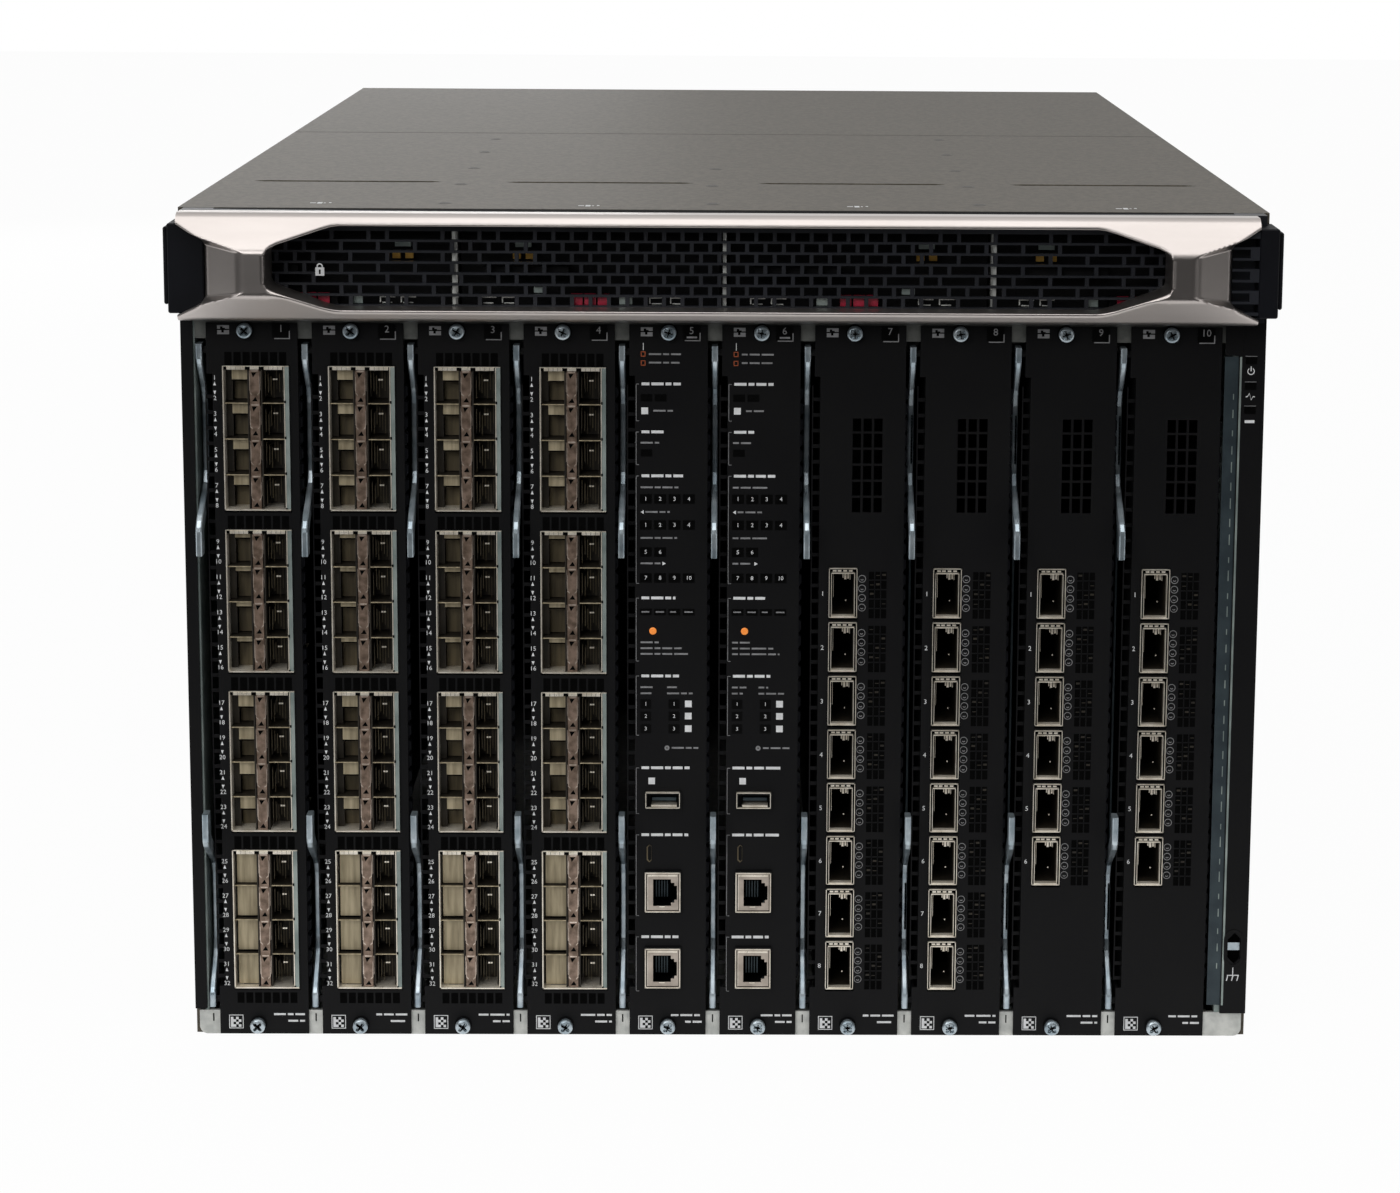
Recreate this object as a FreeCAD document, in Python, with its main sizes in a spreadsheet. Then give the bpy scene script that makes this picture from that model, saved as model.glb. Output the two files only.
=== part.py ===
"""Modular chassis switch: an 8-unit rack chassis with ten plug-in modules, four power supplies,
three fan trays and a pull-off bezel. Millimetres, +Z up, front towards -Y, +X right.
The origin is the centre of the underside of the chassis."""
import FreeCAD
import Part
import Sketcher
import os
import re

V = FreeCAD.Vector
doc = FreeCAD.newDocument("ModularChassisSwitch")
sheet = doc.addObject("Spreadsheet::Sheet", "Sizes")
finished = []

SIZES = (
    # chassis
    ("width", 442, "outside width of the chassis"),
    ("height", 350, "outside height, eight rack units"),
    ("depth", 640, "front plane to rear face"),
    ("wall", 1.5, "sheet of the shell, shelf and rear frame"),
    ("lip", 12, "inward lip that the covers are screwed to"),
    ("cover_sheet", 1.2, "sheet of the two top covers"),
    ("cover_hem", 5, "fold at the front edge of the front cover"),
    ("cover_inset", 1, "front edge of the cover behind the front plane"),
    ("seam_depth", 343, "front plane to the seam between the covers"),
    ("seam_gap", 1.2, "width of that seam"),
    ("bead_length", 82, "pressed bead in the front cover"),
    ("bead_width", 5, "width of a bead"),
    ("bead_sink", 0.7, "depth of a bead"),
    ("bead_depth", 104, "front plane to the row of beads"),
    ("bead_pitch", 110, "spacing of the beads"),
    ("flange_left", 4.8, "width of the left front flange"),
    ("flange_return", 22, "depth that the front flanges run back along the walls"),
    ("flange_foot", 11.5, "foot of the left front flange above the floor"),
    ("earth_slot_width", 5.7, "obround hole in the right flange"),
    ("earth_slot_height", 13.6, "height of that hole"),
    ("earth_slot_level", 39, "height of its centre above the floor"),
    # power supply bay
    ("shelf_level", 303.5, "underside of the power supply shelf"),
    ("shelf_depth", 330, "rear edge of the shelf"),
    ("bay_pitch", 109.2, "spacing of the bay dividers"),
    ("supply_width", 105, "power supply"),
    ("supply_height", 41, "power supply"),
    ("supply_depth", 300, "power supply"),
    ("supply_front", 5, "front plane to the face of a power supply"),
    ("supply_margin", 10, "side of a power supply to its handle"),
    ("supply_handle", 34, "width of the handle loop"),
    ("supply_bar", 4, "thickness of the handle loop"),
    ("supply_reach", 9, "how far the handle stands out"),
    ("latch_width", 15, "release latch"),
    ("latch_height", 5, "release latch"),
    ("latch_rise", 5.5, "shelf to the foot of the latch"),
    # card cage
    ("side_margin", 10.3, "chassis side to the first module"),
    ("line_width", 37.15, "faceplate of a line module"),
    ("control_width", 32, "faceplate of a management module"),
    ("slot_gap", 5.85, "gap between neighbouring faceplates"),
    ("face_foot", 0.5, "foot of the faceplates above the floor"),
    ("face_top", 303, "top of the faceplates"),
    ("face_sheet", 1.2, "sheet of the module carriers"),
    ("face_seat", 0.3, "faceplate to the rail that it seats on"),
    ("relief", 2.3, "set-back of the left edge between the ends"),
    ("relief_low", 21.5, "lower end of that set-back"),
    ("relief_high", 282, "upper end of that set-back"),
    ("return_depth", 9, "depth of the folded edges of a faceplate"),
    ("board_low", 14, "lower edge of the circuit boards"),
    ("board_high", 286, "upper edge of the circuit boards"),
    ("board_thickness", 3, "circuit board"),
    ("board_depth", 400, "rear edge of the circuit boards"),
    ("plug_depth", 412, "rear face of the module connectors"),
    ("plug_width", 10, "width of the module connectors"),
    ("plug_low", 60, "lower end of the module connectors"),
    ("plug_high", 240, "upper end of the module connectors"),
    ("plug_seat", 0.3, "module connector to its mate"),
    ("rail_foot_top", 10.4, "top of the lower rail's front"),
    ("rail_head_foot", 296.4, "foot of the upper rail's front"),
    ("rail_sheet", 1.5, "sheet of the rails and side plates"),
    ("rail_end", 1.5, "chassis side to the end of the lower rail"),
    ("rail_corner", 4, "cut corner at the ends of the lower rail"),
    ("rail_shelf", 60, "rear edge of the rails' level flange"),
    ("guide_grip", 3, "how far a board stands in its guide notch"),
    ("guide_clear", 0.2, "board to the walls and floor of its notch"),
    ("plate_left", 4, "chassis side to the left side plate"),
    ("plate_right", 4.75, "last module to the right side plate"),
    ("plate_right_sheet", 2.3, "right side plate"),
    ("midplane_front", 424, "front face of the midplane"),
    ("midplane_sheet", 4, "midplane board"),
    ("air_gap", 36, "open strips for air below and above the midplane"),
    # ejector levers
    ("lever_sheet", 2.4, "plate of the ejector levers"),
    ("lever_clear", 1.75, "lever to the module's left edge"),
    ("lever_low", 11.3, "foot of the lower levers"),
    ("lever_high", 295.6, "top of the upper levers"),
    ("lever_length", 87.5, "ejector lever, end to end"),
    ("lever_pivot", 4, "lever's end to its pivot"),
    ("pivot_depth", 2.6, "front plane to the pivots"),
    ("pivot_pin", 3.2, "six-sided pivot pin, across its corners"),
    ("pivot_fit", 0.05, "pin's corners to the flats of the lever's hole"),
    ("pivot_head", 0.35, "pin beyond the lever"),
    ("lever_head", 1, "pivot end ahead of the front plane"),
    ("lever_heel", 6.2, "pivot end behind the front plane"),
    ("lever_corner", 1.5, "cut corners of the pivot end"),
    ("lever_dip", 12, "depth of the lever's middle behind the front plane"),
    ("lever_grip", 10, "lever's grip ahead of the front plane"),
    ("lever_strap", 9, "width of the lever's middle"),
    ("lever_finger", 7, "width of the lever's grip"),
    ("first_bend_start", 8, "pivot end to the first bend"),
    ("first_bend_end", 24, "pivot end to the end of that bend"),
    ("last_bend_start", 28, "grip end to the second bend"),
    ("last_bend_end", 13, "grip end to the end of that bend"),
    ("bend_slant", 2, "rear edge's corners beyond the front edge's"),
    # pluggable-optics cages
    ("cage_across", 6.5, "module's left edge to the cages"),
    ("cage_clear", 0.2, "cage to its window"),
    ("cage_reach", 1.2, "cage rim ahead of the faceplate"),
    ("block_width", 27, "block of eight small ports"),
    ("block_height", 60.5, "block of eight small ports"),
    ("block_depth", 48, "block of eight small ports"),
    ("block_low", 20, "foot of the lowest block"),
    ("block_pitch", 68.2, "spacing of the blocks"),
    ("cell_width", 9.1, "small port opening"),
    ("cell_height", 14.1, "small port opening"),
    ("cell_depth", 45, "depth of a small port"),
    ("cell_rim", 0.8, "wall round a block"),
    ("cell_wall", 0.8, "sheet between two rows"),
    ("port_width", 11.7, "wide port cage"),
    ("port_height", 21.4, "wide port cage"),
    ("port_depth", 50, "wide port cage"),
    ("port_wall", 1.1, "wall of a wide port cage"),
    ("port_top", 201.7, "top of the first wide port"),
    ("port_pitch", 22.9, "spacing of the wide ports"),
    ("vent_across", 15.7, "module's left edge to the vent field"),
    ("vent_low", 225.5, "foot of the vent field"),
    ("vent_width", 3.4, "one vent opening"),
    ("vent_height", 39.2, "one vent opening"),
    ("vent_step", 4.4, "spacing of the vents"),
    # management ports
    ("jack_across", 6.5, "module's left edge to the jacks"),
    ("jack_width", 15.2, "network jack"),
    ("jack_height", 18.4, "network jack"),
    ("jack_depth", 18, "network jack"),
    ("jack_wall", 1.3, "wall of a network jack"),
    ("jack_low", 20.8, "foot of the lower network jack"),
    ("jack_rise", 33.2, "spacing of the two network jacks"),
    ("serial_height", 7.4, "host port"),
    ("serial_low", 99, "foot of the host port"),
    ("serial_wall", 1, "wall of the host port"),
    # fan trays
    ("fan_bay", 212, "half width of the opening at the rear"),
    ("fan_low", 12, "foot of that opening"),
    ("fan_high", 296, "top of that opening"),
    ("tray_width", 140.6, "fan tray"),
    ("tray_pitch", 141.3, "spacing of the fan trays"),
    ("tray_clear", 0.3, "fan tray to the rear frame"),
    ("tray_depth", 90, "fan tray"),
    ("duct_width", 62, "duct of one fan, across"),
    ("duct_height", 62, "duct of one fan, upward"),
    ("duct_frame", 5, "frame between two columns of fans"),
    ("duct_rise", 93, "spacing of the fans upward"),
    ("pull_height", 110, "fan tray handle"),
    ("pull_reach", 18, "how far the handle stands out"),
    ("pull_bar", 8, "thickness of the handle"),
    # fabric modules and power inlets
    ("fabric_depth", 110, "fabric module"),
    ("fabric_low", 20, "foot of the fabric modules"),
    ("fabric_high", 288, "top of the fabric modules"),
    ("sink_width", 42, "heat sink on a fabric module"),
    ("sink_height", 120, "heat sink on a fabric module"),
    ("sink_depth", 55, "heat sink on a fabric module"),
    ("sink_back", 27.5, "midplane to the heat sink"),
    ("inlet_width", 34, "housing of a power inlet"),
    ("inlet_height", 30, "housing of a power inlet"),
    ("inlet_level", 326, "height of the power inlets"),
    ("inlet_depth", 26, "depth of a power inlet"),
    ("inlet_wall", 3, "wall of a power inlet"),
    # bezel
    ("bezel_half", 218.5, "half width of the bezel frame"),
    ("bezel_low", 306.3, "foot of the bezel"),
    ("bezel_top", 350, "top of the bezel"),
    ("bezel_depth", 30, "bezel ahead of the front plane"),
    ("bezel_flat", 18, "depth where the sloped faces start"),
    ("bezel_back", 9, "rear of the frame, where the grille sits"),
    ("bezel_seat", 0.3, "rear of the grille to the front plane"),
    ("brow_low", 318, "lower edge of the upright face"),
    ("brow_high", 336, "upper edge of the upright face"),
    ("window_half", 185, "half width of the bezel's opening"),
    ("window_low", 311.6, "foot of the opening"),
    ("window_high", 344, "top of the opening"),
    ("window_taper", 28, "length of the opening's tapered ends"),
    ("window_step", 10, "rise of the tapered ends"),
    ("waist", 193.5, "half width at the outside of the bridges"),
    ("cap_inner", 207.6, "inside of the end blocks"),
    ("cap_outer", 222.2, "outside of the end blocks"),
    ("cap_front", 19.5, "front of the end blocks"),
    ("cap_low", 309.6, "foot of the end blocks"),
    ("cap_high", 345.8, "top of the end blocks"),
    ("cap_step", 3, "waist's rear edge inside the end block's outline"),
    ("tab_reach", 1.8, "release tab beyond the end block"),
    ("tab_inset", 1.5, "release tab inside the end block's outline"),
    ("grille_sheet", 2.4, "grille plate"),
    ("grille_rim", 2, "rim round the back of the grille"),
    ("slot_length", 18.8, "grille slot"),
    ("slot_height", 3.1, "grille slot"),
    ("slot_step", 21.6, "spacing of the grille slots across"),
    ("slot_rise", 4.3, "spacing of the grille rows"),
)

for row, (alias, value, note) in enumerate(SIZES, 1):
    sheet.set("A%d" % row, note)
    sheet.set("B%d" % row, str(value))
    sheet.setAlias("B%d" % row, alias)
doc.recompute()
NAMES = {alias for alias, value, note in SIZES}

FORWARD = {"XZ_Plane": "-", "YZ_Plane": "", "XY_Plane": ""}


def bound(text):
    """The expression with each size name pointed at its cell."""
    return re.sub(r"[a-z_]+", lambda m: "Sizes." + m[0] if m[0] in NAMES else m[0], text)


def number(text):
    """The expression's value now."""
    return float(sheet.evalExpression(bound(text)))


class Piece:
    """One sub-part: a PartDesign body whose local origin is on the front plane."""

    def __init__(self, label, across="0", front="-depth / 2"):
        self.label = label
        self.body = doc.addObject("PartDesign::Body", label)
        self.body.Label = label
        self.body.setExpression("Placement.Base.x", bound(across))
        self.body.setExpression("Placement.Base.y", bound(front))
        finished.append(self.body)

    def origin(self, role):
        return next(f for f in self.body.Origin.OriginFeatures if f.Role == role)

    def sketch(self, plane, at="0"):
        """An empty sketch on an origin plane, moved by `at` along the plane's own axis."""
        sketch = self.body.newObject("Sketcher::SketchObject", self.label + "_sketch")
        sketch.AttachmentSupport = [(self.origin(plane), "")]
        sketch.MapMode = "FlatFace"
        sketch.setExpression("AttachmentOffset.Base.z", bound(FORWARD[plane] + "(%s)" % at))
        return sketch

    def grow(self, sketch, length):
        """Pad towards +Y from an XZ sketch, +X from a YZ sketch, +Z from an XY sketch."""
        pad = self.body.newObject("PartDesign::Pad", self.label + "_pad")
        pad.Profile = sketch
        pad.Reversed = sketch.AttachmentSupport[0][0].Role == "XZ_Plane"
        pad.setExpression("Length", bound(length))
        return pad

    def carve(self, sketch, length):
        """Pocket in the same directions as grow."""
        pocket = self.body.newObject("PartDesign::Pocket", self.label + "_pocket")
        pocket.Profile = sketch
        pocket.Reversed = sketch.AttachmentSupport[0][0].Role != "XZ_Plane"
        pocket.setExpression("Length", bound(length))
        return pocket

    def repeat(self, features, axis, step, count, second=None):
        """Rows of the features along an axis, and along a second one if given."""
        pattern = self.body.newObject("PartDesign::LinearPattern", self.label + "_row")
        pattern.Originals = features
        pattern.Direction = (self.origin(axis), [""])
        pattern.Mode = "Spacing"
        pattern.setExpression("Offset", bound(step))
        pattern.Occurrences = count
        if second:
            axis_two, step_two, count_two = second
            pattern.Direction2 = (self.origin(axis_two), [""])
            pattern.Mode2 = "Spacing"
            pattern.setExpression("Offset2", bound(step_two))
            pattern.Occurrences2 = count_two
        self.body.Tip = pattern
        return pattern


def polygon(sketch, points):
    """A closed outline whose every corner is placed by two expressions."""
    first = sketch.GeometryCount
    corners = [V(number(a), number(b), 0) for a, b in points]
    count = len(points)
    for i in range(count):
        sketch.addGeometry(Part.LineSegment(corners[i], corners[(i + 1) % count]))
    for i in range(count):
        following = first + (i + 1) % count
        sketch.addConstraint(Sketcher.Constraint("Coincident", first + i, 2, following, 1))
    for i, (a, b) in enumerate(points):
        for kind, text in (("DistanceX", a), ("DistanceY", b)):
            index = sketch.addConstraint(
                Sketcher.Constraint(kind, -1, 1, first + i, 1, number(text)))
            sketch.setExpression("Constraints[%d]" % index, bound(text))


def rectangle(sketch, left, right, low, high):
    polygon(sketch, ((left, low), (right, low), (right, high), (left, high)))


def hexagon(sketch, across, up, radius):
    """A regular hexagon given by its centre and the distance to its corners."""
    tall = "(%s) * sqrt(3) / 2" % radius
    corners = [("%s + (%s)" % (across, radius), up),
               ("%s + (%s) / 2" % (across, radius), up + " + " + tall),
               ("%s - (%s) / 2" % (across, radius), up + " + " + tall),
               ("%s - (%s)" % (across, radius), up),
               ("%s - (%s) / 2" % (across, radius), up + " - " + tall),
               ("%s + (%s) / 2" % (across, radius), up + " - " + tall)]
    polygon(sketch, corners)


def slot_left(slot):
    """Expression for the left edge of a slot's faceplate, 1 to 10."""
    wide = min(slot - 1, 4) + max(slot - 7, 0)
    narrow = min(max(slot - 5, 0), 2)
    return ("side_margin - width / 2 + %d * (line_width + slot_gap) + %d * (control_width + slot_gap)"
            % (wide, narrow))


def face_width(slot):
    return "control_width" if slot in (5, 6) else "line_width"


LAST_EDGE = "(%s + line_width)" % slot_left(10)
BOARD_LEFT = "(relief + face_sheet)"
BOARD_RIGHT = "(relief + face_sheet + board_thickness)"
RAIL_FRONT = "(face_sheet + face_seat)"


def chassis_shell():
    """Base and both side walls, folded from one sheet, with lips for the covers."""
    shell = Piece("chassis_shell")
    outer, inner, lipped = "width / 2", "(width / 2 - wall)", "(width / 2 - lip)"
    rim, under = "(height - cover_sheet)", "(height - cover_sheet - wall)"
    section = shell.sketch("XZ_Plane", RAIL_FRONT + " + rail_sheet")
    right = [(outer, "0"), (outer, rim), (lipped, rim), (lipped, under), (inner, under), (inner, "wall")]
    left = [("-" + x, z) for x, z in reversed(right)]
    polygon(section, right + left)
    shell.grow(section, "depth - wall - rail_sheet - %s" % RAIL_FRONT)


def top_covers():
    """Front cover with a hem and four pressed beads, and the plain rear cover."""
    front = Piece("top_cover_front")
    low, high, seam = "height - cover_sheet", "height", "(seam_depth - seam_gap / 2)"
    section = front.sketch("YZ_Plane", "-width / 2")
    polygon(section, (("cover_inset", high), ("cover_inset", "height - cover_hem"),
                      ("cover_inset + cover_sheet", "height - cover_hem"),
                      ("cover_inset + cover_sheet", low), (seam, low), (seam, high)))
    front.grow(section, "width")
    bead = front.sketch("XY_Plane", "height - bead_sink")
    polygon(bead, (("-1.5 * bead_pitch - bead_length / 2", "bead_depth"),
                   ("-1.5 * bead_pitch - bead_length / 2 + bead_width", "bead_depth - bead_width / 2"),
                   ("-1.5 * bead_pitch + bead_length / 2 - bead_width", "bead_depth - bead_width / 2"),
                   ("-1.5 * bead_pitch + bead_length / 2", "bead_depth"),
                   ("-1.5 * bead_pitch + bead_length / 2 - bead_width", "bead_depth + bead_width / 2"),
                   ("-1.5 * bead_pitch - bead_length / 2 + bead_width", "bead_depth + bead_width / 2")))
    pressed = front.carve(bead, "bead_sink")
    front.repeat([pressed], "X_Axis", "bead_pitch", 4)
    rear = Piece("top_cover_rear")
    outline = rear.sketch("XY_Plane", low)
    rectangle(outline, "-width / 2", "width / 2", "seam_depth + seam_gap / 2", "depth")
    rear.grow(outline, "cover_sheet")


def front_flanges():
    """Angle strips that close the front between the side walls and the card cage."""
    left = Piece("front_flange_left")
    outline = left.sketch("XY_Plane", "flange_foot")
    polygon(outline, (("-width / 2", "0"), ("flange_left - width / 2", "0"),
                      ("flange_left - width / 2", "wall"), ("2 * wall - width / 2", "wall"),
                      ("2 * wall - width / 2", "flange_return"), ("wall - width / 2", "flange_return"),
                      ("wall - width / 2", "%s + rail_sheet" % RAIL_FRONT),
                      ("-width / 2", "%s + rail_sheet" % RAIL_FRONT)))
    left.grow(outline, "height - cover_hem - flange_foot")
    right = Piece("front_flange_right")
    inner = "(%s + plate_right + plate_right_sheet)" % LAST_EDGE
    outline = right.sketch("XY_Plane", "rail_foot_top")
    polygon(outline, ((inner, "0"), ("width / 2", "0"),
                      ("width / 2", "%s + rail_sheet" % RAIL_FRONT),
                      ("width / 2 - wall", "%s + rail_sheet" % RAIL_FRONT),
                      ("width / 2 - wall", "flange_return"), ("width / 2 - 2 * wall", "flange_return"),
                      ("width / 2 - 2 * wall", "wall"), (inner, "wall")))
    right.grow(outline, "height - cover_hem - rail_foot_top")
    hole = right.sketch("XZ_Plane")
    middle = "((%s + width / 2) / 2)" % inner
    half, straight = "earth_slot_width / 2", "(earth_slot_height - earth_slot_width) / 2"
    polygon(hole, ((middle + " - " + half, "earth_slot_level - " + straight),
                   (middle, "earth_slot_level - earth_slot_height / 2"),
                   (middle + " + " + half, "earth_slot_level - " + straight),
                   (middle + " + " + half, "earth_slot_level + " + straight),
                   (middle, "earth_slot_level + earth_slot_height / 2"),
                   (middle + " - " + half, "earth_slot_level + " + straight)))
    right.carve(hole, "wall")


def supply_shelf():
    """Shelf under the power supplies with three upright dividers, notched round the front flanges."""
    shelf = Piece("supply_shelf")
    top = "(shelf_level + wall)"
    section = shelf.sketch("XZ_Plane", RAIL_FRONT + " + rail_sheet")
    corners = [("width / 2 - wall", top), ("width / 2 - wall", "shelf_level"),
               ("wall - width / 2", "shelf_level"), ("wall - width / 2", top)]
    for divider in (-1, 0, 1):
        left = "(%d * bay_pitch - wall / 2)" % divider
        right = "(%d * bay_pitch + wall / 2)" % divider
        high = "(height - cover_sheet)"
        corners += [(left, top), (left, high), (right, high), (right, top)]
    polygon(section, corners)
    shelf.grow(section, "shelf_depth - rail_sheet - %s" % RAIL_FRONT)
    corners = shelf.sketch("XY_Plane", "shelf_level")
    for sign in ("-", ""):
        rectangle(corners, sign + "(width / 2 - 2 * wall)", sign + "width / 2", "0", "flange_return")
    shelf.carve(corners, "wall")


def card_rail(label, front_corners, floor, comb_low, comb_high, notch_low, notch_high):
    """Zinc rail: front strip, level flange and a comb that the circuit boards stand in."""
    rail = Piece(label)
    left, right = "(plate_left + rail_sheet - width / 2)", "(%s + plate_right)" % LAST_EDGE
    front = rail.sketch("XZ_Plane", RAIL_FRONT)
    polygon(front, front_corners)
    rail.grow(front, "rail_sheet")
    flange = rail.sketch("XZ_Plane", RAIL_FRONT)
    rectangle(flange, left, right, floor, floor + " + rail_sheet")
    rail.grow(flange, "rail_shelf - %s" % RAIL_FRONT)
    comb = rail.sketch("XZ_Plane", "rail_shelf - rail_sheet")
    rectangle(comb, left, right, comb_low, comb_high)
    rail.grow(comb, "rail_sheet")
    notches = rail.sketch("XZ_Plane", "rail_shelf - rail_sheet")
    for slot in range(1, 11):
        rectangle(notches, "%s + relief - guide_clear" % slot_left(slot),
                  "%s + %s + guide_clear" % (slot_left(slot), BOARD_RIGHT), notch_low, notch_high)
    rail.carve(notches, "rail_sheet")


def card_cage():
    """Lower and upper rails, the two side plates and the midplane."""
    end, top = "(width / 2 - rail_end)", "(rail_foot_top - rail_corner)"
    card_rail("card_rail_lower",
              (("rail_corner - " + end, "0"), (end + " - rail_corner", "0"), (end, "rail_corner"),
               (end, top), (end + " - rail_corner", "rail_foot_top"),
               ("rail_corner - " + end, "rail_foot_top"), ("-" + end, top), ("-" + end, "rail_corner")),
              "wall", "wall", "board_low + guide_grip", "board_low - guide_clear",
              "board_low + 2 * guide_grip")
    left, right = "(plate_left + rail_sheet - width / 2)", "(%s + plate_right)" % LAST_EDGE
    card_rail("card_rail_upper",
              ((left, "rail_head_foot"), (right, "rail_head_foot"), (right, "shelf_level"),
               (left, "shelf_level")),
              "(shelf_level - rail_sheet)", "board_high - guide_grip", "shelf_level",
              "board_high - 2 * guide_grip", "board_high + guide_clear")
    plates = (("cage_plate_left", "plate_left - width / 2", "rail_sheet"),
              ("cage_plate_right", LAST_EDGE + " + plate_right", "plate_right_sheet"))
    for label, across, thickness in plates:
        plate = Piece(label)
        side = plate.sketch("YZ_Plane", across)
        rectangle(side, "face_sheet + face_seat", "midplane_front + midplane_sheet",
                  "rail_foot_top", "shelf_level")
        plate.grow(side, thickness)
    midplane = Piece("midplane")
    board = midplane.sketch("XZ_Plane", "midplane_front")
    rectangle(board, left, right, "rail_foot_top + air_gap", "shelf_level - air_gap")
    midplane.grow(board, "midplane_sheet")
    mates = midplane.sketch("XZ_Plane", "plug_depth + plug_seat")
    for slot in range(1, 11):
        near = "%s + %s" % (slot_left(slot), BOARD_RIGHT)
        rectangle(mates, near, near + " + plug_width", "plug_low", "plug_high")
    midplane.grow(mates, "midplane_front - plug_depth - plug_seat")


def carrier(label, slot):
    """Faceplate with folded edges, tray, circuit board, rear connector and pivot pins of a module."""
    width = face_width(slot)
    module = Piece(label, slot_left(slot))
    face = module.sketch("XZ_Plane")
    polygon(face, (("0", "face_foot"), (width, "face_foot"), (width, "face_top"), ("0", "face_top"),
                   ("0", "relief_high"), ("relief", "relief_high"), ("relief", "relief_low"),
                   ("0", "relief_low")))
    module.grow(face, "face_sheet")
    folds = module.sketch("XZ_Plane")
    rectangle(folds, width + " - face_sheet", width, "relief_low", "relief_high")
    rectangle(folds, "0", "face_sheet", "relief_high", "rail_head_foot - face_sheet")
    rectangle(folds, "0", "face_sheet", "rail_foot_top + face_sheet / 2", "relief_low")
    module.grow(folds, "return_depth")
    tray = module.sketch("XZ_Plane")
    rectangle(tray, "relief", BOARD_LEFT, "board_low", "board_high")
    module.grow(tray, "board_depth")
    board = module.sketch("XZ_Plane", "face_sheet")
    rectangle(board, BOARD_LEFT, BOARD_RIGHT, "board_low", "board_high")
    module.grow(board, "board_depth - face_sheet")
    plug = module.sketch("XZ_Plane", "board_depth - plug_width")
    rectangle(plug, "relief", BOARD_RIGHT + " + plug_width", "plug_low", "plug_high")
    module.grow(plug, "plug_depth - board_depth + plug_width")
    pins = module.sketch("YZ_Plane", "-lever_clear - lever_sheet - pivot_head")
    for level in ("lever_high - lever_pivot", "lever_low + lever_pivot"):
        hexagon(pins, "pivot_depth", level, "pivot_pin / 2")
    module.grow(pins, "lever_clear + lever_sheet + pivot_head + face_sheet / 2")
    return module


def dense_module(slot):
    """Line module with four blocks of eight small ports."""
    module = carrier("line_module_%d" % slot, slot)
    window = module.sketch("XZ_Plane", "-cage_reach")
    rectangle(window, "cage_across", "cage_across + block_width + cage_clear",
              "block_low - cage_clear", "block_low + block_height + cage_clear")
    opening = module.carve(window, "cage_reach + face_sheet")
    module.repeat([opening], "Z_Axis", "block_pitch", 4)


def wide_module(slot, ports):
    """Line module with a column of wide ports and a field of vents."""
    module = carrier("line_module_%d" % slot, slot)
    window = module.sketch("XZ_Plane")
    lowest = "port_top - port_height - %d * port_pitch" % (ports - 1)
    rectangle(window, "cage_across", "cage_across + port_width + cage_clear",
              lowest + " - cage_clear", lowest + " + port_height + cage_clear")
    opening = module.carve(window, "face_sheet")
    module.repeat([opening], "Z_Axis", "port_pitch", ports)
    vent = module.sketch("XZ_Plane")
    rectangle(vent, "vent_across", "vent_across + vent_width", "vent_low", "vent_low + vent_height")
    hole = module.carve(vent, "face_sheet")
    module.repeat([hole], "X_Axis", "vent_step", 3)


def control_module(slot):
    """Management module with two network jacks and a host port."""
    module = carrier("control_module_%d" % slot, slot)
    bodies = module.sketch("XZ_Plane", "-cage_reach")
    mouths = module.sketch("XZ_Plane", "-cage_reach")
    ports = [("jack_low + %d * jack_rise" % n, "jack_height", "jack_wall") for n in (0, 1)]
    for low, height, thickness in ports + [("serial_low", "serial_height", "serial_wall")]:
        rectangle(bodies, "jack_across", "jack_across + jack_width", low, low + " + " + height)
        rectangle(mouths, "jack_across + " + thickness, "jack_across + jack_width - " + thickness,
                  low + " + " + thickness, low + " + %s - %s" % (height, thickness))
    module.grow(bodies, "jack_depth")
    module.carve(mouths, "jack_depth - jack_wall")


def dense_cages(slot):
    """Four blocks of two by four sheet-metal port cages."""
    cages = Piece("port_cages_%d" % slot, slot_left(slot))
    outline = cages.sketch("XZ_Plane", "-cage_reach")
    rectangle(outline, "cage_across", "cage_across + block_width", "block_low", "block_low + block_height")
    block = cages.grow(outline, "block_depth")
    cells = cages.sketch("XZ_Plane", "-cage_reach")
    for row in range(4):
        low = "block_low + cell_rim + %d * (cell_height + cell_wall)" % row
        for left in ("cage_across + cell_rim", "cage_across + block_width - cell_rim - cell_width"):
            rectangle(cells, left, left + " + cell_width", low, low + " + cell_height")
    mouths = cages.carve(cells, "cell_depth")
    cages.repeat([block, mouths], "Z_Axis", "block_pitch", 4)


def wide_cages(slot, ports):
    """A column of separate wide port cages."""
    cages = Piece("port_cages_%d" % slot, slot_left(slot))
    lowest = "(port_top - port_height - %d * port_pitch)" % (ports - 1)
    outline = cages.sketch("XZ_Plane", "-cage_reach")
    rectangle(outline, "cage_across", "cage_across + port_width", lowest, lowest + " + port_height")
    cage = cages.grow(outline, "port_depth")
    hollow = cages.sketch("XZ_Plane", "-cage_reach")
    rectangle(hollow, "cage_across + port_wall", "cage_across + port_width - port_wall",
              lowest + " + port_wall", lowest + " + port_height - port_wall")
    mouth = cages.carve(hollow, "port_depth - port_wall")
    cages.repeat([cage, mouth], "Z_Axis", "port_pitch", ports)


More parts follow.
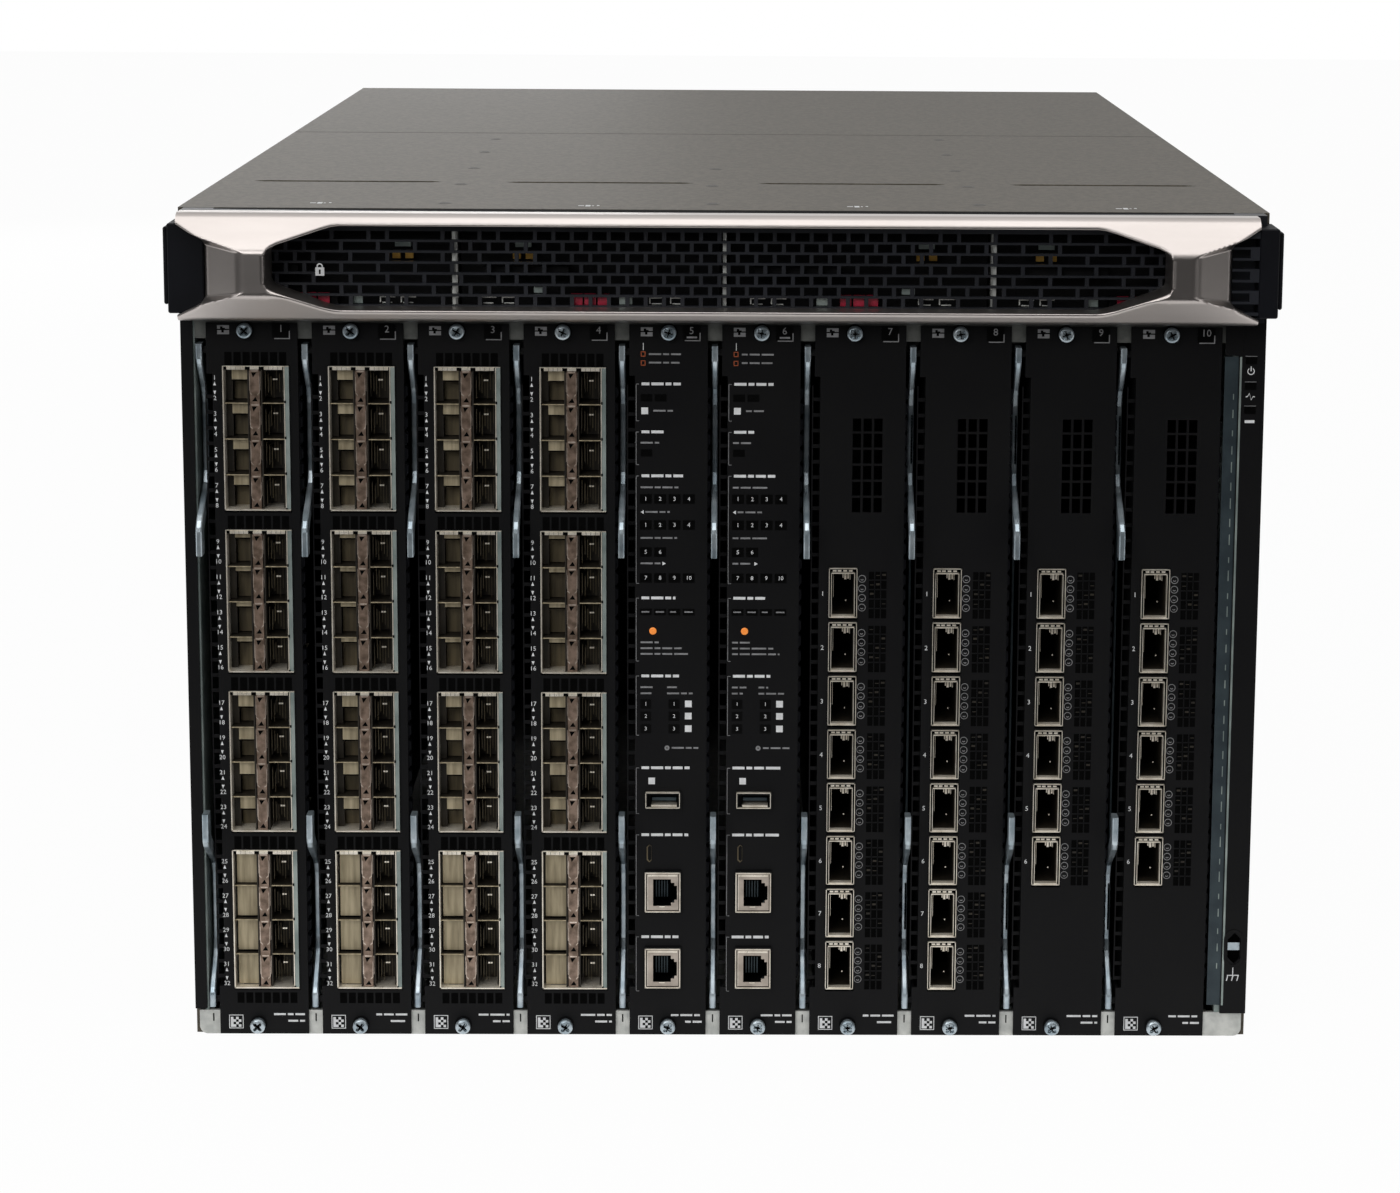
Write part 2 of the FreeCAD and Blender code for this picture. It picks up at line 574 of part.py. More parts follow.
def lever(label, slot, end, sense):
    """Ejector lever: a plate that dips behind its neighbours and comes forward again as a grip."""
    arm = Piece(label, slot_left(slot))
    side = arm.sketch("YZ_Plane", "-lever_clear - lever_sheet")
    grip, dip, strap = "-lever_grip", "lever_dip", "lever_dip + lever_strap"
    outline = (("-lever_head", "lever_corner"), ("lever_corner - lever_head", "0"),
               ("lever_heel - lever_corner", "0"), ("lever_heel", "lever_corner"),
               (strap, "first_bend_end - bend_slant"),
               (strap, "lever_length - last_bend_start + bend_slant"),
               (grip + " + lever_finger", "lever_length - last_bend_end + bend_slant"),
               (grip + " + lever_finger", "lever_length"), (grip, "lever_length"),
               (grip, "lever_length - last_bend_end"), (dip, "lever_length - last_bend_start"),
               (dip, "first_bend_end"), ("-lever_head", "first_bend_start"))
    polygon(side, [(y, "%s %s (%s)" % (end, sense, s)) for y, s in outline])
    arm.grow(side, "lever_sheet")
    hole = arm.sketch("YZ_Plane", "-lever_clear - lever_sheet")
    hexagon(hole, "pivot_depth", "%s %s lever_pivot" % (end, sense), "(pivot_pin + 2 * pivot_fit) / sqrt(3)")
    arm.carve(hole, "lever_sheet")


def power_supply(number_in_row):
    """Hot-plug power supply with a handle loop and a release latch."""
    middle = "%g * bay_pitch" % (number_in_row - 2.5)
    supply = Piece("power_supply_%d" % number_in_row, middle)
    low = "(shelf_level + wall)"
    case = supply.sketch("XZ_Plane", "supply_front")
    rectangle(case, "-supply_width / 2", "supply_width / 2", low, low + " + supply_height")
    supply.grow(case, "supply_depth")
    loop = supply.sketch("XY_Plane", low + " + supply_height / 2 - supply_bar / 2")
    front, back = "supply_front - supply_reach", "supply_front"
    edge = "(supply_width / 2 - supply_margin)"
    polygon(loop, (("-" + edge, back), ("-" + edge, front), ("supply_handle - " + edge, front),
                   ("supply_handle - " + edge, back), ("supply_handle - supply_bar - " + edge, back),
                   ("supply_handle - supply_bar - " + edge, front + " + supply_bar"),
                   ("supply_bar - " + edge, front + " + supply_bar"), ("supply_bar - " + edge, back)))
    supply.grow(loop, "supply_bar")
    latch = supply.sketch("XZ_Plane", front)
    rectangle(latch, "-latch_width / 2", "latch_width / 2",
              low + " + latch_rise", low + " + latch_rise + latch_height")
    supply.grow(latch, "supply_reach")


def rear_frame():
    """Rear panel with the fan tray opening and four power inlets."""
    frame = Piece("rear_frame")
    panel = frame.sketch("XZ_Plane", "depth - wall")
    rectangle(panel, "-width / 2", "width / 2", "0", "height - cover_sheet")
    frame.grow(panel, "wall")
    bay = frame.sketch("XZ_Plane", "depth - wall")
    rectangle(bay, "-fan_bay", "fan_bay", "fan_low", "fan_high")
    frame.carve(bay, "wall")
    housings = frame.sketch("XZ_Plane", "depth - inlet_depth")
    sockets = frame.sketch("XZ_Plane", "depth - inlet_depth + inlet_wall")
    for n in (-1.5, -0.5, 0.5, 1.5):
        middle = "%g * bay_pitch" % n
        rectangle(housings, middle + " - inlet_width / 2", middle + " + inlet_width / 2",
                  "inlet_level - inlet_height / 2", "inlet_level + inlet_height / 2")
        rectangle(sockets, middle + " - inlet_width / 2 + inlet_wall",
                  middle + " + inlet_width / 2 - inlet_wall",
                  "inlet_level - inlet_height / 2 + inlet_wall",
                  "inlet_level + inlet_height / 2 - inlet_wall")
    frame.grow(housings, "inlet_depth + wall")
    frame.carve(sockets, "inlet_depth")


def fan_tray(number_in_row):
    """Fan tray: six fan ducts in one frame, with a handle."""
    tray = Piece("fan_tray_%d" % number_in_row, "%d * tray_pitch" % (number_in_row - 2))
    low, high = "(fan_low + tray_clear)", "(fan_high - tray_clear)"
    outline = tray.sketch("XZ_Plane", "depth - tray_depth")
    rectangle(outline, "-tray_width / 2", "tray_width / 2", low, high)
    tray.grow(outline, "tray_depth")
    duct = tray.sketch("XZ_Plane", "depth - tray_depth")
    foot = "(%s + %s) / 2 - duct_rise - duct_height / 2" % (low, high)
    for sign in ("", "-"):
        rectangle(duct, sign + "duct_frame / 2", sign + "(duct_frame / 2 + duct_width)",
                  foot, foot + " + duct_height")
    ducts = tray.carve(duct, "tray_depth")
    tray.repeat([ducts], "Z_Axis", "duct_rise", 3)
    pull = tray.sketch("YZ_Plane", "-pull_bar / 2")
    middle = "(%s + %s) / 2" % (low, high)
    back, bar = "depth + pull_reach", "depth + pull_reach - pull_bar"
    polygon(pull, (("depth", middle + " - pull_height / 2"), (back, middle + " - pull_height / 2"),
                   (back, middle + " + pull_height / 2"), ("depth", middle + " + pull_height / 2"),
                   ("depth", middle + " + pull_height / 2 - pull_bar"),
                   (bar, middle + " + pull_height / 2 - pull_bar"),
                   (bar, middle + " - pull_height / 2 + pull_bar"),
                   ("depth", middle + " - pull_height / 2 + pull_bar")))
    tray.grow(pull, "pull_bar")


def fabric_modules():
    """Three fabric boards with heat sinks, plugged into the rear of the midplane."""
    cards = Piece("fabric_modules")
    back = "(midplane_front + midplane_sheet)"
    boards = cards.sketch("XZ_Plane", back)
    rectangle(boards, "-tray_pitch - board_thickness", "-tray_pitch", "fabric_low", "fabric_high")
    card = cards.grow(boards, "fabric_depth")
    sinks = cards.sketch("XZ_Plane", back + " + sink_back")
    level = "(fabric_low + fabric_high) / 2"
    rectangle(sinks, "-tray_pitch", "-tray_pitch + sink_width",
              level + " - sink_height / 2", level + " + sink_height / 2")
    sink = cards.grow(sinks, "sink_depth")
    cards.repeat([card, sink], "X_Axis", "tray_pitch", 3)


def bezel_frame():
    """Metal bezel: a faceted bar pierced by the long opening, with waisted ends."""
    frame = Piece("bezel_frame")
    section = frame.sketch("YZ_Plane", "-bezel_half")
    polygon(section, (("-bezel_back", "bezel_low"), ("-bezel_flat", "bezel_low"),
                      ("-bezel_depth", "brow_low"), ("-bezel_depth", "brow_high"),
                      ("-bezel_flat", "bezel_top"), ("-bezel_back", "bezel_top")))
    frame.grow(section, "2 * bezel_half")
    window = frame.sketch("XZ_Plane", "-bezel_depth")
    right = [("window_half", "window_low + window_step"), ("window_half", "window_high - window_step"),
             ("window_half - window_taper", "window_high")]
    left = [("-(%s)" % x, z) for x, z in reversed(right)]
    foot = [("-(window_half - window_taper)", "window_low"), ("window_half - window_taper", "window_low")]
    polygon(window, foot + right + left)
    frame.carve(window, "bezel_depth - bezel_back")
    run = "(cap_outer + wall - cap_inner) / (cap_outer + wall - waist)"
    toe, heel = "(cap_low + cap_step)", "(cap_high - cap_step)"
    for sign in ("-", ""):
        notch = [frame.sketch("XZ_Plane", "-bezel_depth - wall"), frame.sketch("XZ_Plane", "-cap_front")]
        outer = sign + "(cap_outer + wall)"
        polygon(notch[0], ((outer, "cap_low"), (sign + "waist", "brow_low"),
                           (sign + "waist", "brow_high"), (outer, "cap_high")))
        polygon(notch[1], ((outer, "%s - (brow_low - cap_low) * %s" % (toe, run)),
                           (sign + "cap_inner", toe), (sign + "cap_inner", heel),
                           (outer, "%s + (cap_high - brow_high) * %s" % (heel, run))))
        waist = frame.body.newObject("PartDesign::SubtractiveLoft", "bezel_frame_waist")
        waist.Profile = notch[0]
        waist.Sections = [notch[1]]
        waist.Ruled = True
        seat = frame.sketch("XZ_Plane", "-cap_front")
        polygon(seat, ((outer, "cap_low"), (sign + "cap_inner", "cap_low"),
                       (sign + "cap_inner", "cap_high"), (outer, "cap_high")))
        frame.carve(seat, "cap_front - bezel_back")


def bezel_grille():
    """Black insert: slotted plate with a rim, end blocks and release tabs."""
    grille = Piece("bezel_grille")
    plate = grille.sketch("XZ_Plane", "-bezel_back")
    rectangle(plate, "-bezel_half", "bezel_half", "bezel_low", "bezel_top")
    grille.grow(plate, "bezel_back - bezel_seat")
    hollow = grille.sketch("XZ_Plane", "grille_sheet - bezel_back")
    rectangle(hollow, "grille_rim - bezel_half", "bezel_half - grille_rim",
              "bezel_low + grille_rim", "bezel_top - grille_rim")
    grille.carve(hollow, "bezel_back")
    blocks = grille.sketch("XZ_Plane", "-cap_front")
    tabs = grille.sketch("XZ_Plane", "tab_inset - cap_front")
    for sign in ("-", ""):
        rectangle(blocks, sign + "cap_inner", sign + "cap_outer", "cap_low", "cap_high")
        rectangle(tabs, sign + "cap_outer", sign + "(cap_outer + tab_reach)",
                  "cap_low + tab_inset", "cap_high - tab_inset")
    grille.grow(blocks, "cap_front - bezel_seat")
    grille.grow(tabs, "cap_front - tab_inset - bezel_back")
    middle = "(window_low + window_high) / 2"
    for columns, row in ((16, 0), (17, 1)):
        slot = grille.sketch("XZ_Plane", "-bezel_back")
        left = "-%g * slot_step - slot_length / 2" % ((columns - 1) / 2)
        low = middle + " + %g * slot_rise - slot_height / 2" % (row - 3.5)
        rectangle(slot, left, left + " + slot_length", low, low + " + slot_height")
        cut = grille.carve(slot, "grille_sheet")
        grille.repeat([cut], "X_Axis", "slot_step", columns, ("Z_Axis", "2 * slot_rise", 4))


def build():
    chassis_shell()
    top_covers()
    front_flanges()
    supply_shelf()
    card_cage()
    rear_frame()
    fabric_modules()
    bezel_frame()
    bezel_grille()
    for n in range(1, 5):
        power_supply(n)
        dense_module(n)
        dense_cages(n)
    for n in (5, 6):
        control_module(n)
    for n, ports in ((7, 8), (8, 8), (9, 6), (10, 6)):
        wide_module(n, ports)
        wide_cages(n, ports)
    for n in range(1, 11):
        lever("lever_upper_%d" % n, n, "lever_high", "-")
        lever("lever_lower_%d" % n, n, "lever_low", "+")
    for n in range(1, 4):
        fan_tray(n)


def check():
    """Stop if any object failed or any sub-part has no sound shape."""
    for item in doc.Objects:
        if "Invalid" in item.State or "Error" in item.State:
            raise RuntimeError("%s failed: %s" % (item.Name, item.State))
    for body in finished:
        if body.Shape.isNull() or not body.Shape.isValid():
            raise RuntimeError(body.Label + " has no valid shape")


build()
doc.recompute()
check()
os.makedirs("parts", exist_ok=True)
for body in finished:
    body.Shape.exportStep("parts/%s.step" % body.Label)
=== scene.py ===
"""Looks of the modular chassis switch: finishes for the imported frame, and the small pieces that it carries.

Lengths in the helpers are millimetres in a piece's own bay: across from the bay's left edge, in from
the plane of the faceplates (towards the rear), and up from the underside. `placed` turns them into the
frame's metres.
"""
import math
from collections import defaultdict
import bmesh
import bpy
import numpy as np
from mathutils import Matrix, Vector


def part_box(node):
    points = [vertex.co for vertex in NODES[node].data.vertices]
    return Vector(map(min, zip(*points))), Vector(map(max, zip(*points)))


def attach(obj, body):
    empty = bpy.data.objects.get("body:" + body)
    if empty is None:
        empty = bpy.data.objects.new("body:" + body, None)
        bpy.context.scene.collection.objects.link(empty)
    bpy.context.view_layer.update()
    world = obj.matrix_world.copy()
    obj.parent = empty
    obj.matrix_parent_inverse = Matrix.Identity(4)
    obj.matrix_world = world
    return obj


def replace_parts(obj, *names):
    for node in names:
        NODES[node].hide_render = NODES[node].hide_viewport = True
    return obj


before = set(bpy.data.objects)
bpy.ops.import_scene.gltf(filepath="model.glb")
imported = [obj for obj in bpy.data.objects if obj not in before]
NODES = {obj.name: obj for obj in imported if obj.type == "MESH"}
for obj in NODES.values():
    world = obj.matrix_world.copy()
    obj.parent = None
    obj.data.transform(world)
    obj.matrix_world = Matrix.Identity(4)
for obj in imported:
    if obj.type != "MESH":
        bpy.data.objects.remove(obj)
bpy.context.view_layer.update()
MM = 0.001
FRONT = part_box("front_flange_left")[0][1]
WHITE = (1.0, 1.0, 1.0, 1.0)


# ---------------------------------------------------------------- finishes

def linear(hexa):
    """sRGB hex to linear RGBA."""
    parts = [int(hexa[i:i + 2], 16) / 255 for i in (0, 2, 4)]
    return tuple(c / 12.92 if c <= 0.04045 else ((c + 0.055) / 1.055) ** 2.4 for c in parts) + (1.0,)


def add(tree, kind, links=(), **values):
    """A node with its properties and unlinked inputs set, and links given as (input, socket)."""
    item = tree.nodes.new(kind)
    for key, value in values.items():
        if key in item.inputs:
            item.inputs[key].default_value = value
        else:
            setattr(item, key, value)
    for key, socket in links:
        tree.links.new(socket, item.inputs[key])
    return item


def finish(name, light, dark, rough=(0.4, 0.5), metal=0.0, patch=20.0, grain=1.0, relief=0.0,
           stretch=(1, 1, 1), specular=0.5, glow=0.0, contrast=(0.35, 0.65)):
    """A surface whose colour drifts between two tones in patches, with a fine grain in its bump and gloss.

    patch and grain are sizes in millimetres, relief is the grain's height in millimetres."""
    material = bpy.data.materials.new(name)
    material.use_nodes = True
    tree = material.node_tree
    shader = tree.nodes["Principled BSDF"]
    shader.inputs["Metallic"].default_value = metal
    shader.inputs["Specular IOR Level"].default_value = specular
    place = add(tree, "ShaderNodeTexCoord").outputs["Object"]
    lay = add(tree, "ShaderNodeMapping", [("Vector", place)], Scale=stretch).outputs["Vector"]
    drift = add(tree, "ShaderNodeTexNoise", [("Vector", lay)], Scale=1000.0 / patch, Detail=4.0)
    fine = add(tree, "ShaderNodeTexNoise", [("Vector", lay)], Scale=1000.0 / grain, Detail=2.0)
    ramp = add(tree, "ShaderNodeValToRGB", [("Fac", drift.outputs["Fac"])])
    ramp.color_ramp.elements[0].position, ramp.color_ramp.elements[1].position = contrast
    ramp.color_ramp.elements[0].color, ramp.color_ramp.elements[1].color = linear(dark), linear(light)
    tree.links.new(ramp.outputs["Color"], shader.inputs["Base Color"])
    gloss = add(tree, "ShaderNodeMapRange", [("Value", fine.outputs["Fac"])])
    gloss.inputs["To Min"].default_value, gloss.inputs["To Max"].default_value = rough
    tree.links.new(gloss.outputs["Result"], shader.inputs["Roughness"])
    if relief:
        bump = add(tree, "ShaderNodeBump", [("Height", fine.outputs["Fac"])], Strength=1.0, Distance=relief * MM)
        tree.links.new(bump.outputs["Normal"], shader.inputs["Normal"])
    if glow:
        shader.inputs["Emission Color"].default_value = linear(light)
        shader.inputs["Emission Strength"].default_value = glow
    return material


# powder-coated steel of the covers: warm grey, fine orange-peel, a soft sheen at low angles
COVER = finish("powder coat, warm grey", "5A544A", "4B463D", (0.5, 0.62), patch=2.6, grain=0.9, relief=0.03,
               specular=0.25, contrast=(0.4, 0.6))
# the same coat, nearly black and matt, on faceplates and flanges
BLACK = finish("powder coat, black", "0C0C0D", "08080A", (0.5, 0.65), patch=40, grain=0.7, relief=0.015,
               specular=0.16)
# bluish passivated zinc of the levers and screws: bright, slightly cloudy
ZINC = finish("passivated zinc", "C3CED4", "93A2AB", (0.24, 0.4), 0.75, patch=7, grain=0.8, relief=0.006)
# hot-dip galvanised rails: paler, neutral and flatter, with a faint spangle
RAIL = finish("galvanised sheet", "D2D3CE", "B6B8B4", (0.4, 0.55), 0.3, patch=5, grain=1.2, relief=0.004)
# the upper rail, painted darker all over: painted shade for the shadow the bezel casts on it
RAIL_DIM = finish("galvanised sheet, painted shade", "6B6D69", "585A57", (0.45, 0.6), 0.3, patch=5, grain=1.2,
                  relief=0.004)
# the bluish side plates of the card cage, in shade: the zinc painted darker as painted shade
PLATE = finish("passivated zinc, painted half shade", "A0ABA6", "7A8683", (0.35, 0.5), 0.4, patch=14, grain=1.0)
# satin anodised champagne metal of the bezel, brushed along its length
CHAMPAGNE = finish("anodised champagne metal", "C1BAB6", "B1AAA6", (0.28, 0.4), 1.0, patch=30, grain=0.35,
                   relief=0.004, stretch=(0.15, 1, 1))
# moulded black plastic of the grille and end blocks: faintly blue, fine mould grain
PLASTIC = finish("moulded black plastic", "101116", "0B0C10", (0.5, 0.65), patch=25, grain=0.6, relief=0.02,
                 specular=0.12)
# the same plastic in the thin bars of the grille, painted paler all over: a painted highlight for the light their
# edges catch
GRILLE = finish("moulded black plastic, bars, painted highlight", "202228", "191B20", (0.4, 0.55), patch=25, grain=0.6,
                specular=0.3)
# the rims of the cover's rivets, painted darker as shade in their pressed rings, and its seam, a dark joint in the
# coat
RIVET = finish("powder-coated steel, rivet rims", "45423E", "383532", (0.5, 0.6), patch=3, grain=0.6)
# the card cage's sheet in deep shade
PLATE_DIM = finish("passivated zinc, shaded", "39454A", "29343A", (0.4, 0.55), 0.4, patch=14, grain=1.0)
# bright nickel of the cage rims and springs
NICKEL = finish("nickel plate", "F4EDDF", "DAD1C0", (0.24, 0.34), 0.5, patch=5, grain=0.5)
# the warmer nickel of the latch strips between the ports
SPINE = finish("nickel plate, warm", "947F70", "665548", (0.28, 0.42), 0.5, patch=3, grain=0.4, relief=0.005)
# inner sheets of the cages, brushed upright, in the lit tone: painted light on the panels high in the mouths and
# on the dividers' front edges
TUNNEL = finish("nickel plate, inside", "BBAE91", "90846A", (0.4, 0.55), 0.3, patch=4, grain=0.6,
                stretch=(2, 1, 0.2))
# the same sheets deep inside, painted dark as the shade there
DEEP = finish("nickel plate, painted shade", "302A20", "1E1A14", (0.5, 0.65), 0.3, patch=4, grain=0.6,
              stretch=(2, 1, 0.2))
# flaps half way in, painted darker as half shade; the oval port's face takes the same dim nickel
FLAP = finish("nickel plate, dim, painted half shade on the flaps", "6B6048", "4E4534", (0.45, 0.6), 0.35, patch=5, grain=0.6,
              stretch=(2, 1, 0.2))
# painted highlights on the edges and bends of the latch strips
GLINT = finish("nickel plate, painted glint", "E4D4C6", "B9A797", (0.2, 0.3), 0.5, patch=3, grain=0.5)
# pinkish tin plate of the network jacks
TIN = finish("tin plate", "BDB1A5", "A2978C", (0.32, 0.45), 0.4, patch=5, grain=0.5, relief=0.004)
# lacquered circuit board and dark connectors
BOARD = finish("lacquered circuit board", "123323", "0B2318", (0.3, 0.45), patch=12, grain=1.5)
# grey-white screen print and light pipes
PRINT = finish("screen print, light grey", "E6E7E8", "D6D7D8", (0.5, 0.6), patch=3, grain=0.5)
# fainter print and dim light pipes
FAINT = finish("screen print, dim grey", "8B8B8D", "787879", (0.5, 0.6), patch=3, grain=0.5)
# tinted windows over the status lights
WINDOW = finish("tinted window", "040404", "020202", (0.3, 0.4), patch=8, grain=2.0, specular=0.15)
# open vents and gaps that end in the dark
SHADE = finish("matt black inside", "050505", "020202", (0.8, 0.9), patch=6, grain=1.0, specular=0.05)
# lit amber indicator
AMBER = finish("amber indicator", "F0913F", "E07A28", (0.4, 0.5), patch=2, grain=0.5, glow=0.35)
# amber print
AMBER_PRINT = finish("screen print, amber", "B5582A", "9C4820", (0.5, 0.6), patch=2, grain=0.5)
# red latch plastic
RED = finish("red latch plastic", "C21B40", "97142F", (0.35, 0.45), patch=5, grain=0.6, relief=0.01)
# brass contacts
BRASS = finish("brass", "CFA352", "A88038", (0.3, 0.4), 0.7, patch=4, grain=0.4)
# the record's material slot that a finish stands for, where it has one
SLOTS = {BLACK: "black_paint", RIVET: "warm_grey_paint", CHAMPAGNE: "champagne_metal"}
SLOTS.update(dict.fromkeys((ZINC, RAIL, PLATE, PLATE_DIM), "zinc_sheet"))
SLOTS.update(dict.fromkeys((PLASTIC, GRILLE), "black_plastic"))
SLOTS.update(dict.fromkeys((NICKEL, SPINE, TUNNEL, DEEP, FLAP, GLINT, TIN), "nickel"))


def paint(node, material):
    """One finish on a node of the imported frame."""
    slots = NODES[node].data.materials
    slots.clear()
    slots.append(material)


# ---------------------------------------------------------------- meshes

def piece(name, parts, material, body, material_slot=""):
    """One flat-shaded mesh from (points, faces) parts, riding on a body.

    The material slot "" stands for the finish's usual one, and None for no slot; it is not used."""
    points, faces, start = [], [], 0
    for block, polys in parts:
        points.append(np.asarray(block, float))
        faces += [[int(i) + start for i in poly] for poly in polys]
        start += len(points[-1])
    mesh = bpy.data.meshes.new(name)
    mesh.from_pydata(np.concatenate(points).tolist(), [], faces)
    mesh.materials.append(material)
    mesh.update()
    mesh.shade_flat()
    item = bpy.data.objects.new(name, mesh)
    bpy.context.scene.collection.objects.link(item)
    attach(item, body)
    if material_slot == "":
        material_slot = SLOTS.get(material)
    return item


def placed(points, left=0.0):
    """Bay millimetres (across, in, up) to the frame's metres."""
    points = np.asarray(points, float) * MM
    return points + np.array([left * MM, FRONT, 0.0])


CUBE = np.array([[x, y, z] for x in (0, 1) for y in (0, 1) for z in (0, 1)])
CUBE_FACES = np.array([[0, 1, 3, 2], [4, 6, 7, 5], [0, 4, 5, 1], [2, 3, 7, 6], [0, 2, 6, 4], [1, 5, 7, 3]])
INK = (-0.06, 0.0)


def marks(rows, front=INK[0], back=INK[1]):
    """Flat bars in front of a face, from rows of (across0, across1, up0, up1)."""
    return [[a, b, front, back, c, d] for a, b, c, d in rows]


def shift(rows, across, up=0.0):
    """Rows of upright boxes moved across and up."""
    return (np.asarray(rows, float) + (across, across, 0, 0, up, up)).tolist()


def boxes(rows, left=0.0):
    """Upright boxes from rows of (across0, across1, in0, in1, up0, up1): corner = low + cube * (high - low)."""
    rows = np.asarray(rows, float).reshape(-1, 3, 2)
    low, high = rows[:, None, :, 0], rows[:, None, :, 1]
    points = low + CUBE[None] * (high - low)
    faces = CUBE_FACES[None] + 8 * np.arange(len(rows))[:, None, None]
    return placed(points.reshape(-1, 3), left), faces.reshape(-1, 4)


def turned(profile, centre, count=32):
    """A profile of (radius, in) revolved about the in axis through centre (across, up)."""
    profile = np.asarray(profile, float)
    angle = np.linspace(0, 2 * np.pi, count, endpoint=False)
    radius, depth = profile[:, 0][:, None], profile[:, 1][:, None]
    points = np.stack([centre[0] + radius * np.cos(angle), depth + 0 * angle,
                       centre[1] + radius * np.sin(angle)], -1)
    return points.reshape(-1, 3), grid_faces(len(profile), count, around=True)


def grid_faces(rows, columns, around=False):
    """Quads of a grid of rows by columns, closed round the columns if asked."""
    i, j = np.meshgrid(np.arange(rows - 1), np.arange(columns if around else columns - 1), indexing="ij")
    k = (j + 1) % columns
    corners = [i * columns + j, i * columns + k, (i + 1) * columns + k, (i + 1) * columns + j]
    return np.stack(corners, -1).reshape(-1, 4)


def plate(outline, in0, in1):
    """A flat outline of (across, up) corners given a thickness from in0 to in1."""
    outline = np.asarray(outline, float)
    n = len(outline)
    points = np.concatenate([np.insert(outline, 1, in0, axis=1), np.insert(outline, 1, in1, axis=1)])
    ring = [[i, i + n, (i + 1) % n + n, (i + 1) % n] for i in range(n)]
    return points, [list(range(n)), list(range(2 * n - 1, n - 1, -1))] + ring


def ring(centre, outer, inner, in0, in1, count=20, sweep=(0, 360)):
    """A flat ring or arc with a square section."""
    full = sweep[1] - sweep[0] >= 360
    angle = np.radians(np.linspace(*sweep, count, endpoint=not full))
    across, up = np.cos(angle), np.sin(angle)
    rim = [np.stack([centre[0] + r * across, 0 * angle + y, centre[1] + r * up], -1)
           for r, y in ((outer, in0), (outer, in1), (inner, in1), (inner, in0), (outer, in0))]
    points = np.stack(rim).reshape(-1, 3)
    faces = grid_faces(5, count, around=full).tolist()
    if not full:
        faces += [[count * k for k in range(4)][::-1], [count * k + count - 1 for k in range(4)]]
    return points, faces


def rotated(corners, angle, centre):
    """Flat corners (a, b) turned by an angle about the origin and moved to a centre."""
    c, d = math.cos(angle), math.sin(angle)
    return [(centre[0] + a * c - b * d, centre[1] + a * d + b * c) for a, b in corners]


def fixed(name, rows, material, parts=(), body="chassis", left=0.0, **more):
    """A piece of upright boxes from rows and of other parts, all in bay millimetres, on a body."""
    made = [boxes(rows, left)] if len(rows) else []
    made += [(placed(points, left), faces) for points, faces in parts]
    return piece(name, made, material, body, **more)


def mounted(name, slot, rows, material, parts=(), **more):
    """The same on the module in a slot."""
    bay = BAYS[slot]
    return fixed("%s_%d" % (name, slot), rows, material, parts, bay["body"], bay["left"], **more)


GLYPHS = {}


def glyph(text):
    """The mesh of a short number, one millimetre high, centred, as (points, faces)."""
    if text not in GLYPHS:
        curve = bpy.data.curves.new("number", "FONT")
        curve.body, curve.size, curve.align_x, curve.align_y = text, 1.4, "CENTER", "CENTER"
        curve.resolution_u = 2
        item = bpy.data.objects.new("number", curve)
        bpy.context.scene.collection.objects.link(item)
        mesh = bpy.data.meshes.new_from_object(item.evaluated_get(bpy.context.evaluated_depsgraph_get()))
        points = np.zeros(3 * len(mesh.vertices))
        mesh.vertices.foreach_get("co", points)
        faces = [list(p.vertices) for p in mesh.polygons]
        bpy.data.objects.remove(item)
        bpy.data.meshes.remove(mesh)
        GLYPHS[text] = points.reshape(-1, 3), faces
    return GLYPHS[text]


def number(text, across, up, height, lift=-0.06):
    """A printed number facing the front."""
    points, faces = glyph(text)
    flat = np.stack([across + points[:, 0] * height, 0 * points[:, 0] + lift, up + points[:, 1] * height], -1)
    return flat, faces


# ---------------------------------------------------------------- bays

BAYS = {}
for slot in range(1, 11):
    node = "control_module_%d" % slot if slot in (5, 6) else "line_module_%d" % slot
    width = 32.0 if slot in (5, 6) else 37.15
    BAYS[slot] = dict(node=node, body="module_%d" % slot, width=width, left=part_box(node)[1][0] / MM - width)
DENSE, CONTROL = (1, 2, 3, 4), (5, 6)
# wide ports on each of the other modules
PORTS = {7: 8, 8: 8, 9: 6, 10: 6}
BLOCK_PITCH, ROW_PITCH, WIDE_PITCH, CAGE_LEFT = 68.2, 14.9, 22.9, 6.5


def screws(slot):
    """Captive screws: a neck and a domed head revolved, with a cross recess sunk near its two diagonals."""
    neck = [(2.5, 0.0), (2.5, -2.0), (2.9, -2.1), (3.15, -2.5), (3.15, -3.5), (2.9, -3.9)]
    dome = [(2.75 * math.cos(a), -3.95 - 0.55 * math.sin(a)) for a in np.linspace(0, np.pi / 2, 9)[1:-1]]
    arm = ((-1.7, -0.26), (1.7, -0.26), (1.7, 0.26), (-1.7, 0.26))
    heads, painted_shades, x = [], [], 16.1
    for up in (4.9, 300.2):
        points, faces = turned(neck + dome + [(0.02, -4.5)], (x, up), 40)
        a, b = points[:, 0] - x, points[:, 2] - up
        off = np.minimum(abs(a + b), abs(a - b)) * 0.7071
        points[(off < 0.5) & (np.hypot(a, b) < 2.1) & (points[:, 1] < -3.9), 1] += 1.0
        heads.append((points, faces))
        turn = 0.5 + 1.7 * slot + up
        # painted shade: black arms in the cross recess, and a black ring round the head for its shadow
        painted_shades += [plate(rotated(arm, angle, (x, up)), -4.44, -3.6) for angle in (turn, turn + math.pi / 2)]
        painted_shades.append(ring((x, up), 3.5, 3.15, -0.08, 0.0))
    mounted("captive_screws", slot, [], ZINC, heads)
    mounted("screw_shades", slot, [], SHADE, painted_shades)


